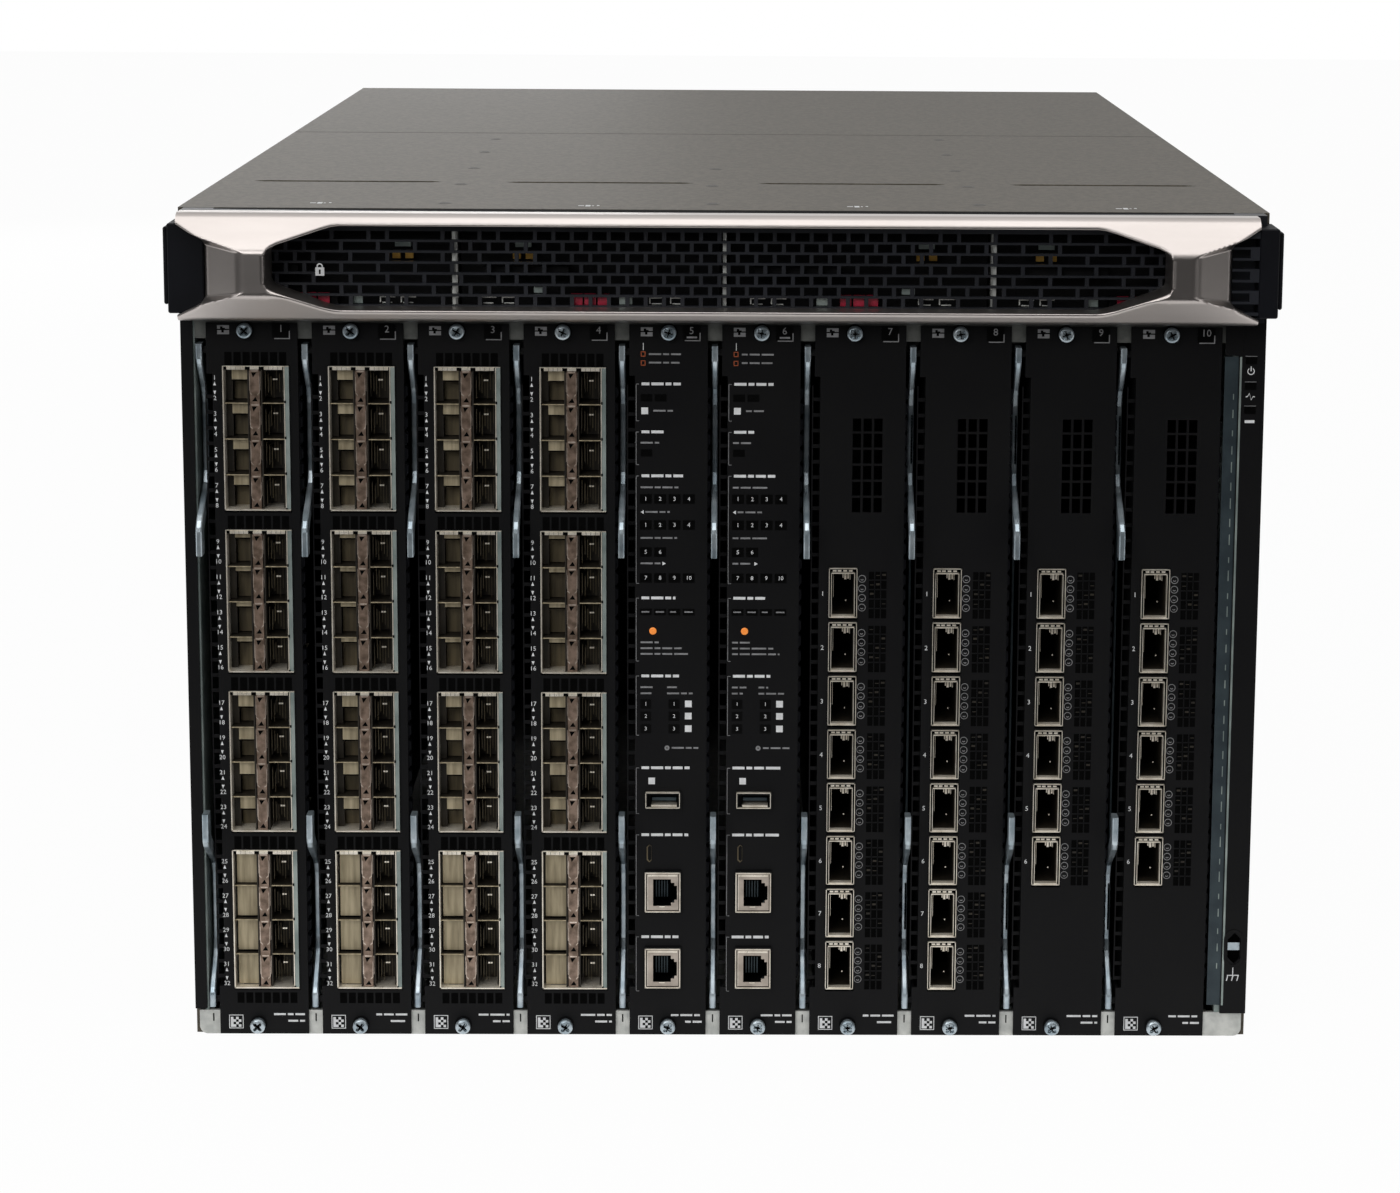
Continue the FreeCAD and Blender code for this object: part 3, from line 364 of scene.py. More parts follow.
def gaskets(slot):
    """Ladder of vent rungs down the left return and contact fingers down the right edge."""
    rungs, fingers, width = [], [], BAYS[slot]["width"]
    for up in np.arange(24.5, 278, 6.5):
        rungs += shift([[-0.9, 2.2, 1.9, 2.3, 0, 1.5], [-1.0, -0.5, 1.7, 2.3, 0, 6.5]], 0, up)
        fingers += shift([[0, 0.5, 1.5, 8.0, 0.6, 5.6], [0.5, 1.1, 2.4, 6.5, 1.2, 5.0]], width, up)
    mounted("vent_ladder", slot, rungs, BLACK)
    mounted("contact_fingers", slot, fingers, PLASTIC)


def head_marks(slot):
    """A faceplate's light pipe with its pulse line, slot window and number, a plain checker and two label bars."""
    width, cell = BAYS[slot]["width"], 1.1
    end = width - 10.2
    pulse = [[4.7, 6.2, 300.0, 300.5], [5.9, 6.4, 300.0, 301.5], [6.4, 6.9, 299.0, 301.5],
             [6.9, 7.4, 299.0, 300.9], [7.4, 7.9, 300.0, 300.9], [7.9, 9.5, 300.0, 300.5]]
    outline = [[3.7, 9.7, 2.8, 3.1], [3.7, 9.7, 8.5, 8.8], [3.7, 4.0, 3.1, 8.5], [9.4, 9.7, 3.1, 8.5]]
    checker = [[4.4 + cell * a, 4.4 + cell * (a + 1), 3.45 + cell * b, 3.45 + cell * (b + 1)]
               for a in range(4) for b in range(4) if (a + b) % 2 or (a == 0 and b < 3)]
    # the light L along the slot window's lower and right edges is a painted highlight; the control modules' extra
    # bar is print
    rim = [[0.8, 6.8, 296.4, 296.8], [6.8, 7.2, 296.4, 299.8]]
    if slot in CONTROL:
        rim.append([1.6, 5.8, 297.6, 298.3])
    labels = words(width - 14.6, 9.0, 13.0, 1.2, slot) + words(width - 8.6, 6.1, 7.0, 1.2, slot + 2)
    mounted("head_print", slot, marks(outline + checker + labels), PRINT)
    mounted("pulse_line", slot, marks(pulse, -0.1, -0.06), SHADE)
    mounted("slot_window", slot, shift(marks([[0, 7.2, 296.8, 303.0]], -0.05), end), WINDOW)
    mounted("slot_number", slot, shift(marks(rim, -0.12), end) + marks([[4.7, 9.5, 298.3, 302.0]]), FAINT,
            [number(str(slot), end + 3.6, 300.6, 3.0, -0.1)])


def dense_print(slot):
    """Port numbers with pointers beside each block, and the rows of narrow vents."""
    ink, vents = [], []
    for block in range(4):
        for row in range(4):
            level, first = 284.0 - BLOCK_PITCH * block - ROW_PITCH * row, 8 * block + 2 * row + 1
            ink += [number(str(first), 3.2, level - 3.7, 1.9), number(str(first + 1), 3.2, level - 12.1, 1.9),
                    plate([(2.6, level - 6.8), (3.8, level - 6.8), (3.2, level - 5.2)], *INK),
                    plate([(2.6, level - 9.0), (3.2, level - 10.6), (3.8, level - 9.0)], *INK)]
    for low, high in ((285.6, 291.0), (217.6, 223.0), (149.4, 154.8), (81.2, 86.6), (14.0, 18.6)):
        vents += marks([[7.4 + 3.7 * i, 10.3 + 3.7 * i, low, high] for i in range(7)], -0.04)
    mounted("port_numbers", slot, [], PRINT, ink)
    mounted("narrow_vents", slot, vents, SHADE)


def dense_cages(slot):
    """Blocks of two by four small ports: thin walls, latch strip, flaps behind the mouths and rim springs."""
    back, high = 46.0, 60.0
    low, top, under = 0.6, high - 1.5, high - 0.3
    kit = defaultdict(list)
    wedges, notches = [], []

    def put(up, **rows):
        for name, items in rows.items():
            kit[name] += shift(items, CAGE_LEFT, up)

    for block, (lit, wall) in enumerate(((14.0, 1.3), (6.0, 3.3), (2.6, 3.3), (4.8, 3.3))):
        bottom = 20.8 + BLOCK_PITCH * block
        put(bottom,
            rim=[[0, 0.45, -1.2, back, 0, high], [24.9, 25.3, -1.0, back, 0, high], [0, 27, -1.2, back, 0, 0.5],
                 [0, 27, -0.8, back, under, high]],
            pale=[[25.4, 27.0, -0.9, 0.0, 0.5, under]],
            bright=[[a, a + 1.75, -1.25, -0.8, top, under] for a in (1.8, 3.7, 5.6, 7.5, 17.0, 18.9, 20.8, 22.7)]
            + [[11.3, 14.9, -1.25, -0.8, high - 1.4, under]],
            dark=[[0.45, 25, -0.7, -0.3, high - 1.6, under]],
            inside=[[0.5, 25, 45.4, back, low, high - 0.5]],
            strip=[[11.0, 15.0, -0.4, 1.4, low, top]],
            deep=[[10.0, 10.5, -0.2, 45, low, top], [15.5, 16.0, -0.2, 45, low, top],
                  [10.5, 11.0, 0.9, 1.3, low, top], [15.0, 15.5, 0.9, 1.3, low, top]])
        for row in range(4):
            level = bottom + high - 1.4 - ROW_PITCH * row + (0.8 if row else 0)
            foot = -14.5 if row else -13.7
            for a, b in ((0.5, 9.9), (16, 24.9)) if row < 3 else ():
                put(level, edge=[[a, b, -0.1, 0.5, foot - 0.6, foot - 0.25]],
                    deep=[[a, b, 0.5, back, foot - 0.55, foot - 0.3]])
            drops = [1.0 + (k * 37 + row * 23 + block * 11 + slot * 7) % 50 / 10 for k in range(7)]
            # per row: the inside panel high in the left mouth is a painted highlight; the flap, dark and deep
            # boxes are painted shade below and behind it; the glints are painted highlights on the latch strip
            put(level,
                inside=[[wall, 9.9, 3.0, 3.3, max(-lit, foot), -0.2]],
                streak=[[17.0 + 1.1 * k, 17.13 + 1.1 * k, 2.0 + 0.4 * k, 2.2 + 0.4 * k, foot + drop, drop - 6.0]
                        for k, drop in enumerate(drops)],
                flap=[[3.3, 9.9, 9.0, 9.3, foot, max(-lit, foot + 0.1)]],
                deep=[[16.0, 24.9, 12.0, 12.3, foot, -0.2], [0.5, 3.3, 5.0, 5.3, foot, -0.2],
                      [16.7, 17.0, 3.0, 12.0, foot + 2, -3], [18.3, 18.5, 4.0, 13.0, foot + 4, -4],
                      [23.9, 24.1, 2.0, 12.0, foot, -1]],
                dark=[[3.3, 9.9, 2.9, 3.3, max(-lit - 0.5, foot - 0.2), max(-lit, foot)],
                      [1.0, 1.3, 2.9, 3.3, foot, foot + 0.1], [25.0, 25.7, -1.1, -0.8, foot - 0.2, foot + 0.9]],
                bright=[[20.0, 20.8, 3.0, 3.4, -5.0, -4.4], [21.0, 21.8, 3.0, 3.4, -5.0, -4.4]],
                glint=[[11.5, 14.5, -0.55, -0.4, -0.9, -0.35], [10.6, 10.85, 0.5, 0.9, -9.0, -0.9],
                       [15.1, 15.35, 0.5, 0.9, -9.0, -0.9], [11.0, 11.2, -0.5, -0.4, -9.4, -3.0],
                       [14.8, 15.0, -0.5, -0.4, -9.4, -3.0]])
            bends = [[(13 + 2 * side, -9.4), (13 + 2 * side, -9.9), (13 + side, -10.9), (13 + side, -10.3)][::side]
                     for side in (-1, 1)]
            points = [[(11.7, -1.3), (12.4, -3.4), (13.9, -1.3)], [(11.8, -13.3), (14.2, -13.3), (13.2, -11.4)]]
            for made, outlines in ((wedges, bends), (notches, points)):
                made += [plate(np.array(outline) + (CAGE_LEFT, level), -0.46, -0.4) for outline in outlines]
    rims = mounted("cage_rims", slot, kit["rim"], NICKEL)
    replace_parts(rims, "port_cages_%d" % slot)
    mounted("latch_strips", slot, kit["strip"], SPINE)
    mounted("cage_inside", slot, kit["inside"] + kit["edge"], TUNNEL)
    mounted("cage_flaps", slot, kit["flap"] + kit["streak"], FLAP)
    mounted("cage_depths", slot, kit["deep"], DEEP)
    mounted("cage_springs", slot, kit["bright"], NICKEL)
    mounted("cage_flanges", slot, kit["pale"], PLATE, material_slot="nickel")
    mounted("strip_glints", slot, kit["glint"], GLINT, wedges)
    mounted("cage_shades", slot, kit["dark"], SHADE, notches)


def wide_cages(slot):
    """Wide ports: double thin rim, deep tunnel with lit fins at its top, rings of the lane lights, small grid."""
    foot, right = -20.9, 30.3
    kit = defaultdict(list)
    rings, digits = [], []
    for port in range(PORTS[slot]):
        top = 202.2 - WIDE_PITCH * port

        def put(across, **rows):
            for name, items in rows.items():
                kit[name] += shift(items, across, top)

        for grow, lip, thick in ((0.0, -1.2, 0.28), (0.98, -0.9, 0.24)):
            a, b, c, d = grow, 11.7 - grow, foot + grow * 0.6, -grow * 1.9
            put(CAGE_LEFT, rim=marks([[a, a + thick, c, d], [b - thick, b, c, d], [a, b, c, c + thick],
                                      [a, b, d - thick, d]], lip, 2))
        put(CAGE_LEFT,
            inside=[[1.15, 1.4, 2, 46, foot + 1, -1.6], [10.3, 10.55, 2, 46, foot + 1, -1.6],
                    [1.15, 10.6, 2, 46, foot + 0.8, foot + 1.1], [1.15, 10.6, 2, 46, -1.9, -1.6]],
            rim=[[k, k + 1.5, -1.1, -0.7, -1.4, -0.7] for k in (1.6, 3.6, 5.9, 8.2)],
            fin=[[a, a + wide, 2.4, 2.7, -2.1 - drop, -2.1]
                 for a, wide, drop in ((5.7, 0.4, 2.6), (6.4, 0.9, 3.3), (7.7, 0.7, 3.0), (8.7, 0.25, 3.4))]
            + [[6.9, 7.35, 3.0, 3.3, foot + 6.2, foot + 6.7], [1.9, 2.05, 2.4, 2.7, foot + 8, -2.5],
               [1.0, 10.7, -1.0, 1.0, foot + 0.25, foot + 0.75], [1.2, 10.5, -1.0, 1.0, -2.3, -1.9]],
            dark=[[0.35, 11.35, -0.3, 0.0, -1.6, -0.35], [0.35, 0.85, -0.3, 0.0, foot, 0],
                  [10.85, 11.35, -0.3, 0.0, foot, 0], [1.4, 10.3, 30.0, 30.4, foot + 1.1, -1.9]])
        put(0, dark=marks([[23.0, right, foot - 0.4, -1.6]], -0.04),
            grid=marks([[a, a + 0.4, foot - 0.4, -1.6] for a in (25.2, 27.7)]
                       + [[23.0, right, foot + 3.5 + 4.0 * k, foot + 4.0 + 4.0 * k] for k in range(4)], -0.14),
            bit=shift(marks([[2.5 * a, 2.5 * a + 1.5, 4 * b, 4 * b + 0.3 + (a + b + port) % 2 / 2]
                             for a in range(3) for b in range(4) if (a * 3 + b * 5 + port * 2 + slot) % 4 < 2],
                            -0.1, -0.04), 23.5, foot + 5.6))
        for k in range(4):
            centre = (20.2, top - 4.6 - 4.05 * k)
            rings += [ring(centre, 1.6, 1.34, *INK), ring(centre, 0.7, 0.36, *INK, 8, (200, 340))]
        digits.append(number(str(port + 1), 4.0, top - 11.0, 2.0))
    bars = [[15.4, 28.6, 0.1, 1.1, 231.6 + 6.7 * k, 232.5 + 6.7 * k] for k in range(5)]
    rims = mounted("port_rims", slot, kit["rim"], NICKEL)
    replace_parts(rims, "port_cages_%d" % slot)
    mounted("port_tunnels", slot, kit["inside"], DEEP)
    mounted("port_fins", slot, kit["fin"], NICKEL)
    mounted("port_shades", slot, kit["dark"], SHADE)
    mounted("port_grids", slot, kit["grid"] + bars, BLACK)
    mounted("grid_springs", slot, kit["bit"], DEEP)
    mounted("port_rings", slot, [], FAINT, rings)
    mounted("port_numbers", slot, [], PRINT, digits)


def control_print(slot):
    """Brackets, plain label bars, numbered windows and lights of a management module."""
    bars, dim, lines, windows, digits = [], [], [], [], []
    for head, foot, length in ((278.6, 263.3, 16), (258.7, 245.0, 9), (240.4, 195.2, 17), (189.1, 162.3, 14),
                               (156.0, 130.6, 15.5), (116.7, 96.9, 20), (87.8, 52.6, 19.5), (43.4, 19.6, 15.5)):
        lines += [[2.7, 2.92, foot, head], [2.7, 4.0, head - 0.11, head + 0.11], [2.7, 4.0, foot, foot + 0.22]]
        bars += words(5.0, head, length, 1.5, slot)
    for up, length, start in ((290.9, 13, 8.0), (287.4, 12.5, 8.0), (267.5, 8, 9.8), (254.2, 7.6, 4.6),
                              (235.6, 15.5, 4.6), (225.3, 10, 6.6), (214.4, 15, 4.6), (203.7, 8.5, 4.6),
                              (170.3, 7.5, 4.6), (167.8, 17, 4.6), (165.4, 19.6, 4.6), (151.2, 6, 4.6),
                              (148.6, 4.5, 4.6), (151.2, 4, 15.6), (148.6, 10.6, 15.6), (125.3, 11, 17.6)):
        dim += words(start, up, length, 1.05, slot + 1)
    windows += [[4.6, 9.4, up - 1.5, up + 1.5] for up in (272.9, 250.0)] + [[10.4, 15.2, 271.4, 274.4]]
    for up, values in ((230.8, "1234"), (219.9, "1234"), (208.5, "56"), (197.6, ("7", "8", "9", "10"))):
        for k, value in enumerate(values):
            windows.append([4.3 + 5.9 * k, 9.2 + 5.9 * k, up - 2.0, up + 2.0])
            digits.append(number(value, 6.75 + 5.9 * k, up, 1.7, -0.1))
    for k in range(4):
        windows.append([4.3 + 5.9 * k, 9.2 + 5.9 * k, 181.8, 184.6])
        dim += words(5.0 + 5.9 * k, 183.2, 3.4, 0.9, k)
    for k, up in enumerate((144.1, 138.9, 133.5)):
        windows += [[4.5, 9.0, up - 2, up + 2], [16.2, 20.8, up - 2, up + 2]]
        digits += [number(str(k + 1), 6.8, up, 1.6, -0.1), number(str(k + 1), 18.5, up, 1.6, -0.1)]
        bars.append([23.0, 25.8, up - 1.3, up + 1.5])
    bars += [[4.9, 7.7, 266.1, 268.9], [7.9, 10.6, 109.7, 112.5], [5.6, 5.85, 292.6, 295.6]]
    pointers = [plate([(4.6, 225.3), (5.9, 224.5), (5.9, 226.1)], *INK),
                plate([(13.6, 202.9), (15.0, 203.7), (13.6, 204.5)], *INK)]
    suns = [[4.7, 6.6, up - 0.15, up + 0.15] for up in (291.9, 290.1, 288.2, 286.4)]
    suns += [[a, a + 0.3, up, up + 1.8] for a in (4.7, 6.3) for up in (290.1, 286.4)]
    mounted("status_print", slot, marks(bars), PRINT, digits + pointers)
    mounted("small_print", slot, marks(dim + lines, -0.12), FAINT, [ring((15.6, 125.3), 1.05, 0.3, *INK)])
    mounted("status_windows", slot, marks(windows, -0.05), WINDOW)
    lamp_dome = turned([(1.5, 0.0), (1.5, -0.3), (1.1, -0.7), (0.02, -0.8)], (9.7, 175.2), 20)
    mounted("mode_lamp", slot, [], AMBER, [lamp_dome])
    mounted("fault_key", slot, marks(suns), AMBER_PRINT)


def words(start, up, length, height, seed):
    """A line of plain bars that stands for a label: run lengths step through a fixed cycle."""
    rows, a, k = [], start, seed
    while a < start + length - 0.6:
        run = (3.2, 5.0, 2.4, 4.1, 6.0)[k % 5]
        rows.append([a, min(a + run, start + length), up - height / 2 + 0.25, up + height / 2 - 0.1])
        a += run + 0.8
        k += 1
    return rows


def jacks(slot):
    """Fronts of the two network jacks with stepped openings, the host port and the small oval port."""
    shell, rim, dark, bright, contacts = [], [], [], [], []
    faces = marks([[0, 3.3, 0, 17], [13.3, 14.6, 0, 17], [3.3, 13.3, 0, 2.6], [3.3, 13.3, 14.2, 17],
                   [10.8, 13.3, 2.6, 4.1], [10.8, 13.3, 12.7, 14.2], [12.2, 13.3, 4.1, 5.3],
                   [12.2, 13.3, 11.4, 12.7]], -1.5, -1.2)
    for low in (21.6, 54.8):
        shell += shift(faces, 6.6, low)
        rim += shift(marks([[-0.1, 0.22, -0.1, 17.1], [14.38, 14.7, -0.1, 17.1], [0, 14.6, -0.1, 0.22],
                            [0, 14.6, 16.78, 17.1]], -1.8), 6.6, low)
        # painted highlights: bright bars along the top and down the left of each face, and one at its lower tab
        bright += shift([[1.2, 13.4, -1.7, -1.3, 15.5, 16.15], [5.9, 8.2, -1.7, -1.3, 2.1, 2.6],
                         [0.9, 1.15, -1.6, -1.3, 0.8, 16.2]], 6.6, low)
        # painted shade: dark lines at the left, bottom and right of each face, and a dark sheet inside the opening
        dark += shift(marks([[0.5, 0.9, 0.5, 16.5], [0.5, 14.1, 0.45, 0.8], [13.85, 14.1, 0.5, 16.5]], -1.55, -1.3)
                      + [[3.3, 10.8, 9.0, 9.3, 2.6, 14.2]], 6.6, low)
        contacts += shift([[4.3 + 1.15 * k, 4.8 + 1.15 * k, 4.0, 4.3, 4.8, 11.8] for k in range(5)]
                          + marks([[11.4, 11.8, 13.0, 14.1], [11.4, 11.8, 2.9, 4.0]], -1.2, 2.0), 6.6, low)
    host = (6.8, 99.8)
    rim += shift(marks([[-0.1, 0.22, -0.1, 6.7], [13.9, 14.2, -0.1, 6.7], [0, 14.1, -0.1, 0.22],
                        [0, 14.1, 6.38, 6.7]], -1.6), *host)
    bright += shift([[2.3, 12.9, -1.0, 6.0, 0.5, 1.2]], *host)
    # painted shade in the host port's mouth
    dark += shift(marks([[0.3, 2.2, 0.3, 6.3], [13.0, 13.9, 0.3, 6.3], [2.2, 13.0, 5.7, 6.3]], -0.6), *host)
    contacts += shift([[2.6, 12.6, 1.0, 12.0, 2.6, 3.9]], *host)
    oval = np.array([(7.2, 77.0), (8.3, 76.0), (9.2, 76.8), (9.2, 83.0), (8.3, 83.6), (7.2, 82.6)])
    middle = np.array([8.2, 79.8])
    mouth = (oval - middle) * [0.72, 0.9] + middle + [0.2, 0.15]
    mounted("jack_faces", slot, shell, TIN)
    mounted("jack_rims_and_highlights", slot, rim + bright, NICKEL)
    mounted("jack_shades", slot, dark, SHADE)
    mounted("jack_contacts", slot, contacts, PLATE_DIM, material_slot="nickel")
    mounted("oval_port", slot, [], FLAP, [plate(oval, -0.3, 0)])
    mounted("oval_port_mouth", slot, [], WINDOW, [plate(mouth, -0.36, 0)])


LEVER_FRONT = [(-1, 1.2), (-1, 8), (12, 24), (12, 59.5), (-10, 74.5), (-10, 87.5)]
LEVER_BACK = [(6.2, 1.2), (10.9, 8), (21, 22), (21, 61.5), (-3, 76.5), (-3, 87.5)]


def rounded(points, turns=2):
    """Corner cutting: each pass puts points an eighth in from both ends of every side, ends kept."""
    points = np.asarray(points, float)
    for _ in range(turns):
        a, b = points[:-1], points[1:]
        inner = np.stack([a * 0.88 + b * 0.12, a * 0.12 + b * 0.88], 1).reshape(-1, 2)
        points = np.concatenate([points[:1], inner[1:-1], points[-1:]])
    return points


def lever(slot, kind):
    """Ejector lever: an eight-sided section with broken edges carried between the front and back lines."""
    bay = BAYS[slot]
    node = "lever_%s_%d" % (kind, slot)
    low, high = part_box(node)
    x0, x1, edge = low[0] / MM - bay["left"], high[0] / MM - bay["left"], 0.45
    front, back = rounded(LEVER_FRONT), rounded(LEVER_BACK)
    y0, y1, s = front[:, 0], back[:, 0], [front[:, 1], back[:, 1]]
    corner = [(x0 + edge, 0, 0), (x1 - edge, 0, 0), (x1, 0, 1), (x1, 1, -1), (x1 - edge, 1, 0),
              (x0 + edge, 1, 0), (x0, 1, -1), (x0, 0, 1)]
    rings = []
    for x, side, step in corner:
        y, along = (y0, y1)[side] + step * edge, s[side]
        up = high[2] / MM - along if kind == "upper" else low[2] / MM + along
        rings.append(np.stack([x + 0 * y, y, up], -1))
    points, count = np.stack(rings, 1).reshape(-1, 3), len(front)
    faces = grid_faces(count, 8, around=True)[:, ::(1 if kind == "lower" else -1)].tolist()
    ends = [list(range(8)), [8 * count - 8 + i for i in range(8)]]
    ends[0 if kind == "lower" else 1].reverse()
    item = fixed("ejector_%s_%d" % (kind, slot), [], ZINC, [(points, faces + ends)], node, bay["left"])
    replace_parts(item, node)


# ---------------------------------------------------------------- bezel

def ease(a, b, soft):
    """Smooth minimum of two arrays: min(a, b) rounded over a band of width soft."""
    h = np.clip(0.5 + 0.5 * (b - a) / soft, 0, 1)
    return b * (1 - h) + a * h - soft * h * (1 - h)


def bezel():
    """Bezel: a front sheet y(x, z), faceted, cut by sloping waists at both ends and rolled in at every rim."""
    low, high = (np.array(v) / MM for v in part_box("bezel_frame"))
    half, top, foot, tip = high[0], high[2], low[2], INSERT_MIDDLE
    flat, edge, waist, cap, end = 151.5, 179.9, 187.6, 205.3, half + tip
    waist_top, waist_low, rise_top, rise_low = 335.4, 319.2, 0.412, 0.36
    deep, roll = 31.5, 1.8
    knots = np.array([[0, 345.2, 311.6], [flat, 345.2, 311.6], [flat + 3, 344.8, 312.0], [flat + 7, 343.7, 313.1],
                      [edge - 4.5, 338.3, 319.5], [edge - 1.8, 337.0, 320.6], [edge - 0.4, 335.6, 321.8],
                      [edge, 334.0, 323.2]])
    pocket = np.array([[cap, 337.4, 316.6], [cap + 0.4, 338.8, 315.2], [cap + 1.4, 340.0, 314.0],
                       [cap + 3.0, 341.0, 313.0], [end, 345.6, 309.0]])
    window_x = np.unique(np.concatenate([np.linspace(0, flat - 3, 50), np.linspace(flat - 3, edge, 60)]))
    neck_x = np.linspace(edge, cap, 60)
    end_x = np.concatenate([np.linspace(cap, cap + 3, 14), np.linspace(cap + 3, end, 12)[1:]])
    rims = np.concatenate([knots, pocket])
    upper = lambda x: np.interp(x, rims[:, 0], rims[:, 1])
    lower = lambda x: np.interp(x, rims[:, 0], rims[:, 2])

    def sheet(x, bottom, ceiling, rows, rolled):
        """y of the front at (|x|, z), with a quarter-round roll at the named rims: y - (r - sqrt(r^2 - d^2))."""
        share = (1 - np.cos(np.linspace(0, np.pi, rows))) / 2
        z = bottom[None] + share[:, None] * (ceiling - bottom)[None]
        x = np.broadcast_to(x[None], z.shape)
        section = ease(ease(18 + (z - foot) * 12 / 11.7, 18 + (top - z) * 12 / 14.0, 1.2), 30 + 0 * z, 1.2)
        side = deep - (x - waist) * 0.66
        ceiling_cut = deep + (z - waist_top - (x - waist) * rise_top) * 2.6
        floor_cut = deep + (waist_low - (x - waist) * rise_low - z) * 3.5
        cut = -ease(ease(-side, -ceiling_cut, 2.6), -floor_cut, 2.6)
        y = ease(section, np.maximum(cut, 9.5), 1.4)
        gaps = {"low": z - bottom[None], "high": ceiling[None] - z, "side": np.minimum(x - edge, cap - x)}
        for name in rolled:
            d = np.clip(roll - gaps[name], 0, roll)
            y = y - (roll - np.sqrt(roll ** 2 - d ** 2 + 1e-9))
        return np.stack([x, -y, z], -1)

    all_x = np.concatenate([window_x, neck_x[1:], end_x[1:]])
    over, under = (all_x, upper(all_x), top + 0 * all_x, 40), (all_x, foot + 0 * all_x, lower(all_x), 40)
    neck = (neck_x, lower(neck_x), upper(neck_x), 60)
    sheets = [sheet(*over, ("high",)), sheet(*under, ("low",)), sheet(*neck, ("side",))]
    both = [sheet(*over, ("low", "high")), sheet(*under, ("low", "high"))]
    open_edge = (all_x <= edge + 0.01) | (all_x >= cap - 0.01)
    for k in (0, 1):
        sheets[k][:, open_edge] = both[k][:, open_edge]
    points, faces, start = [], [], 0
    for block in sheets:
        rows, columns = block.shape[:2]
        quads = grid_faces(rows, columns)
        for sign in (1, -1):
            flipped = block.copy()
            flipped[..., 0] = tip + sign * flipped[..., 0]
            points.append(flipped.reshape(-1, 3))
            faces.append(quads[:, ::sign] + start)
            start += rows * columns
    points = np.concatenate(points)
    item = fixed("bezel_shell", [], CHAMPAGNE, [(points, np.concatenate(faces))], "bezel")
    work = bmesh.new()
    work.from_mesh(item.data)
    bmesh.ops.remove_doubles(work, verts=work.verts, dist=2e-5)
    rim = [e for e in work.edges if e.is_boundary]
    made = bmesh.ops.extrude_edge_only(work, edges=rim)["geom"]
    back = FRONT - 9.3 * MM
    for v in made:
        if isinstance(v, bmesh.types.BMVert):
            v.co.y = back
    bmesh.ops.recalc_face_normals(work, faces=work.faces)
    work.to_mesh(item.data)
    work.free()
    item.data.shade_smooth()
    split = item.modifiers.new("creases", "EDGE_SPLIT")
    split.split_angle = math.radians(38)
    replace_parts(item, "bezel_frame")


def pad(x0, x1, z0, z1, radius, in0, in1, bevel=0.5):
    """A plate with round corners whose outline is pulled in by the bevel at its front."""
    turn = np.linspace(0, np.pi / 2, 6)
    rows = []
    for inset, depth in ((bevel, in0), (0.0, in0 + bevel), (0.0, in1)):
        r = max(radius - inset, 0.05)
        xa, xb, za, zb = x0 + inset + r, x1 - inset - r, z0 + inset + r, z1 - inset - r
        for quarter, (across, up) in enumerate(((xb, zb), (xa, zb), (xa, za), (xb, za))):
            angle = turn + quarter * np.pi / 2
            rows.append(np.stack([across + r * np.cos(angle), depth + 0 * angle, up + r * np.sin(angle)], -1))
    count = 4 * len(turn)
    caps = [list(range(count))[::-1], list(range(2 * count, 3 * count))]
    return np.concatenate(rows), grid_faces(3, count, around=True).tolist() + caps


INSERT_MIDDLE = -2.1
# ties left out of each grille row, counted in steps from the middle, lowest row first
LEFT_OUT = ((12, 14, 16, 19, 21, 22), (7.5, 11.5, 14.5, 16.5, 18.5, 21.5), (10, 13, 15, 17, 19, 21, 23),
            (8.5, 13.5, 15.5, 17.5, 19.5, 21.5), (12, 14, 16, 17, 19, 21), (15.5, 17.5, 19.5, 21.5),
            (11, 14, 16, 17, 20, 22))


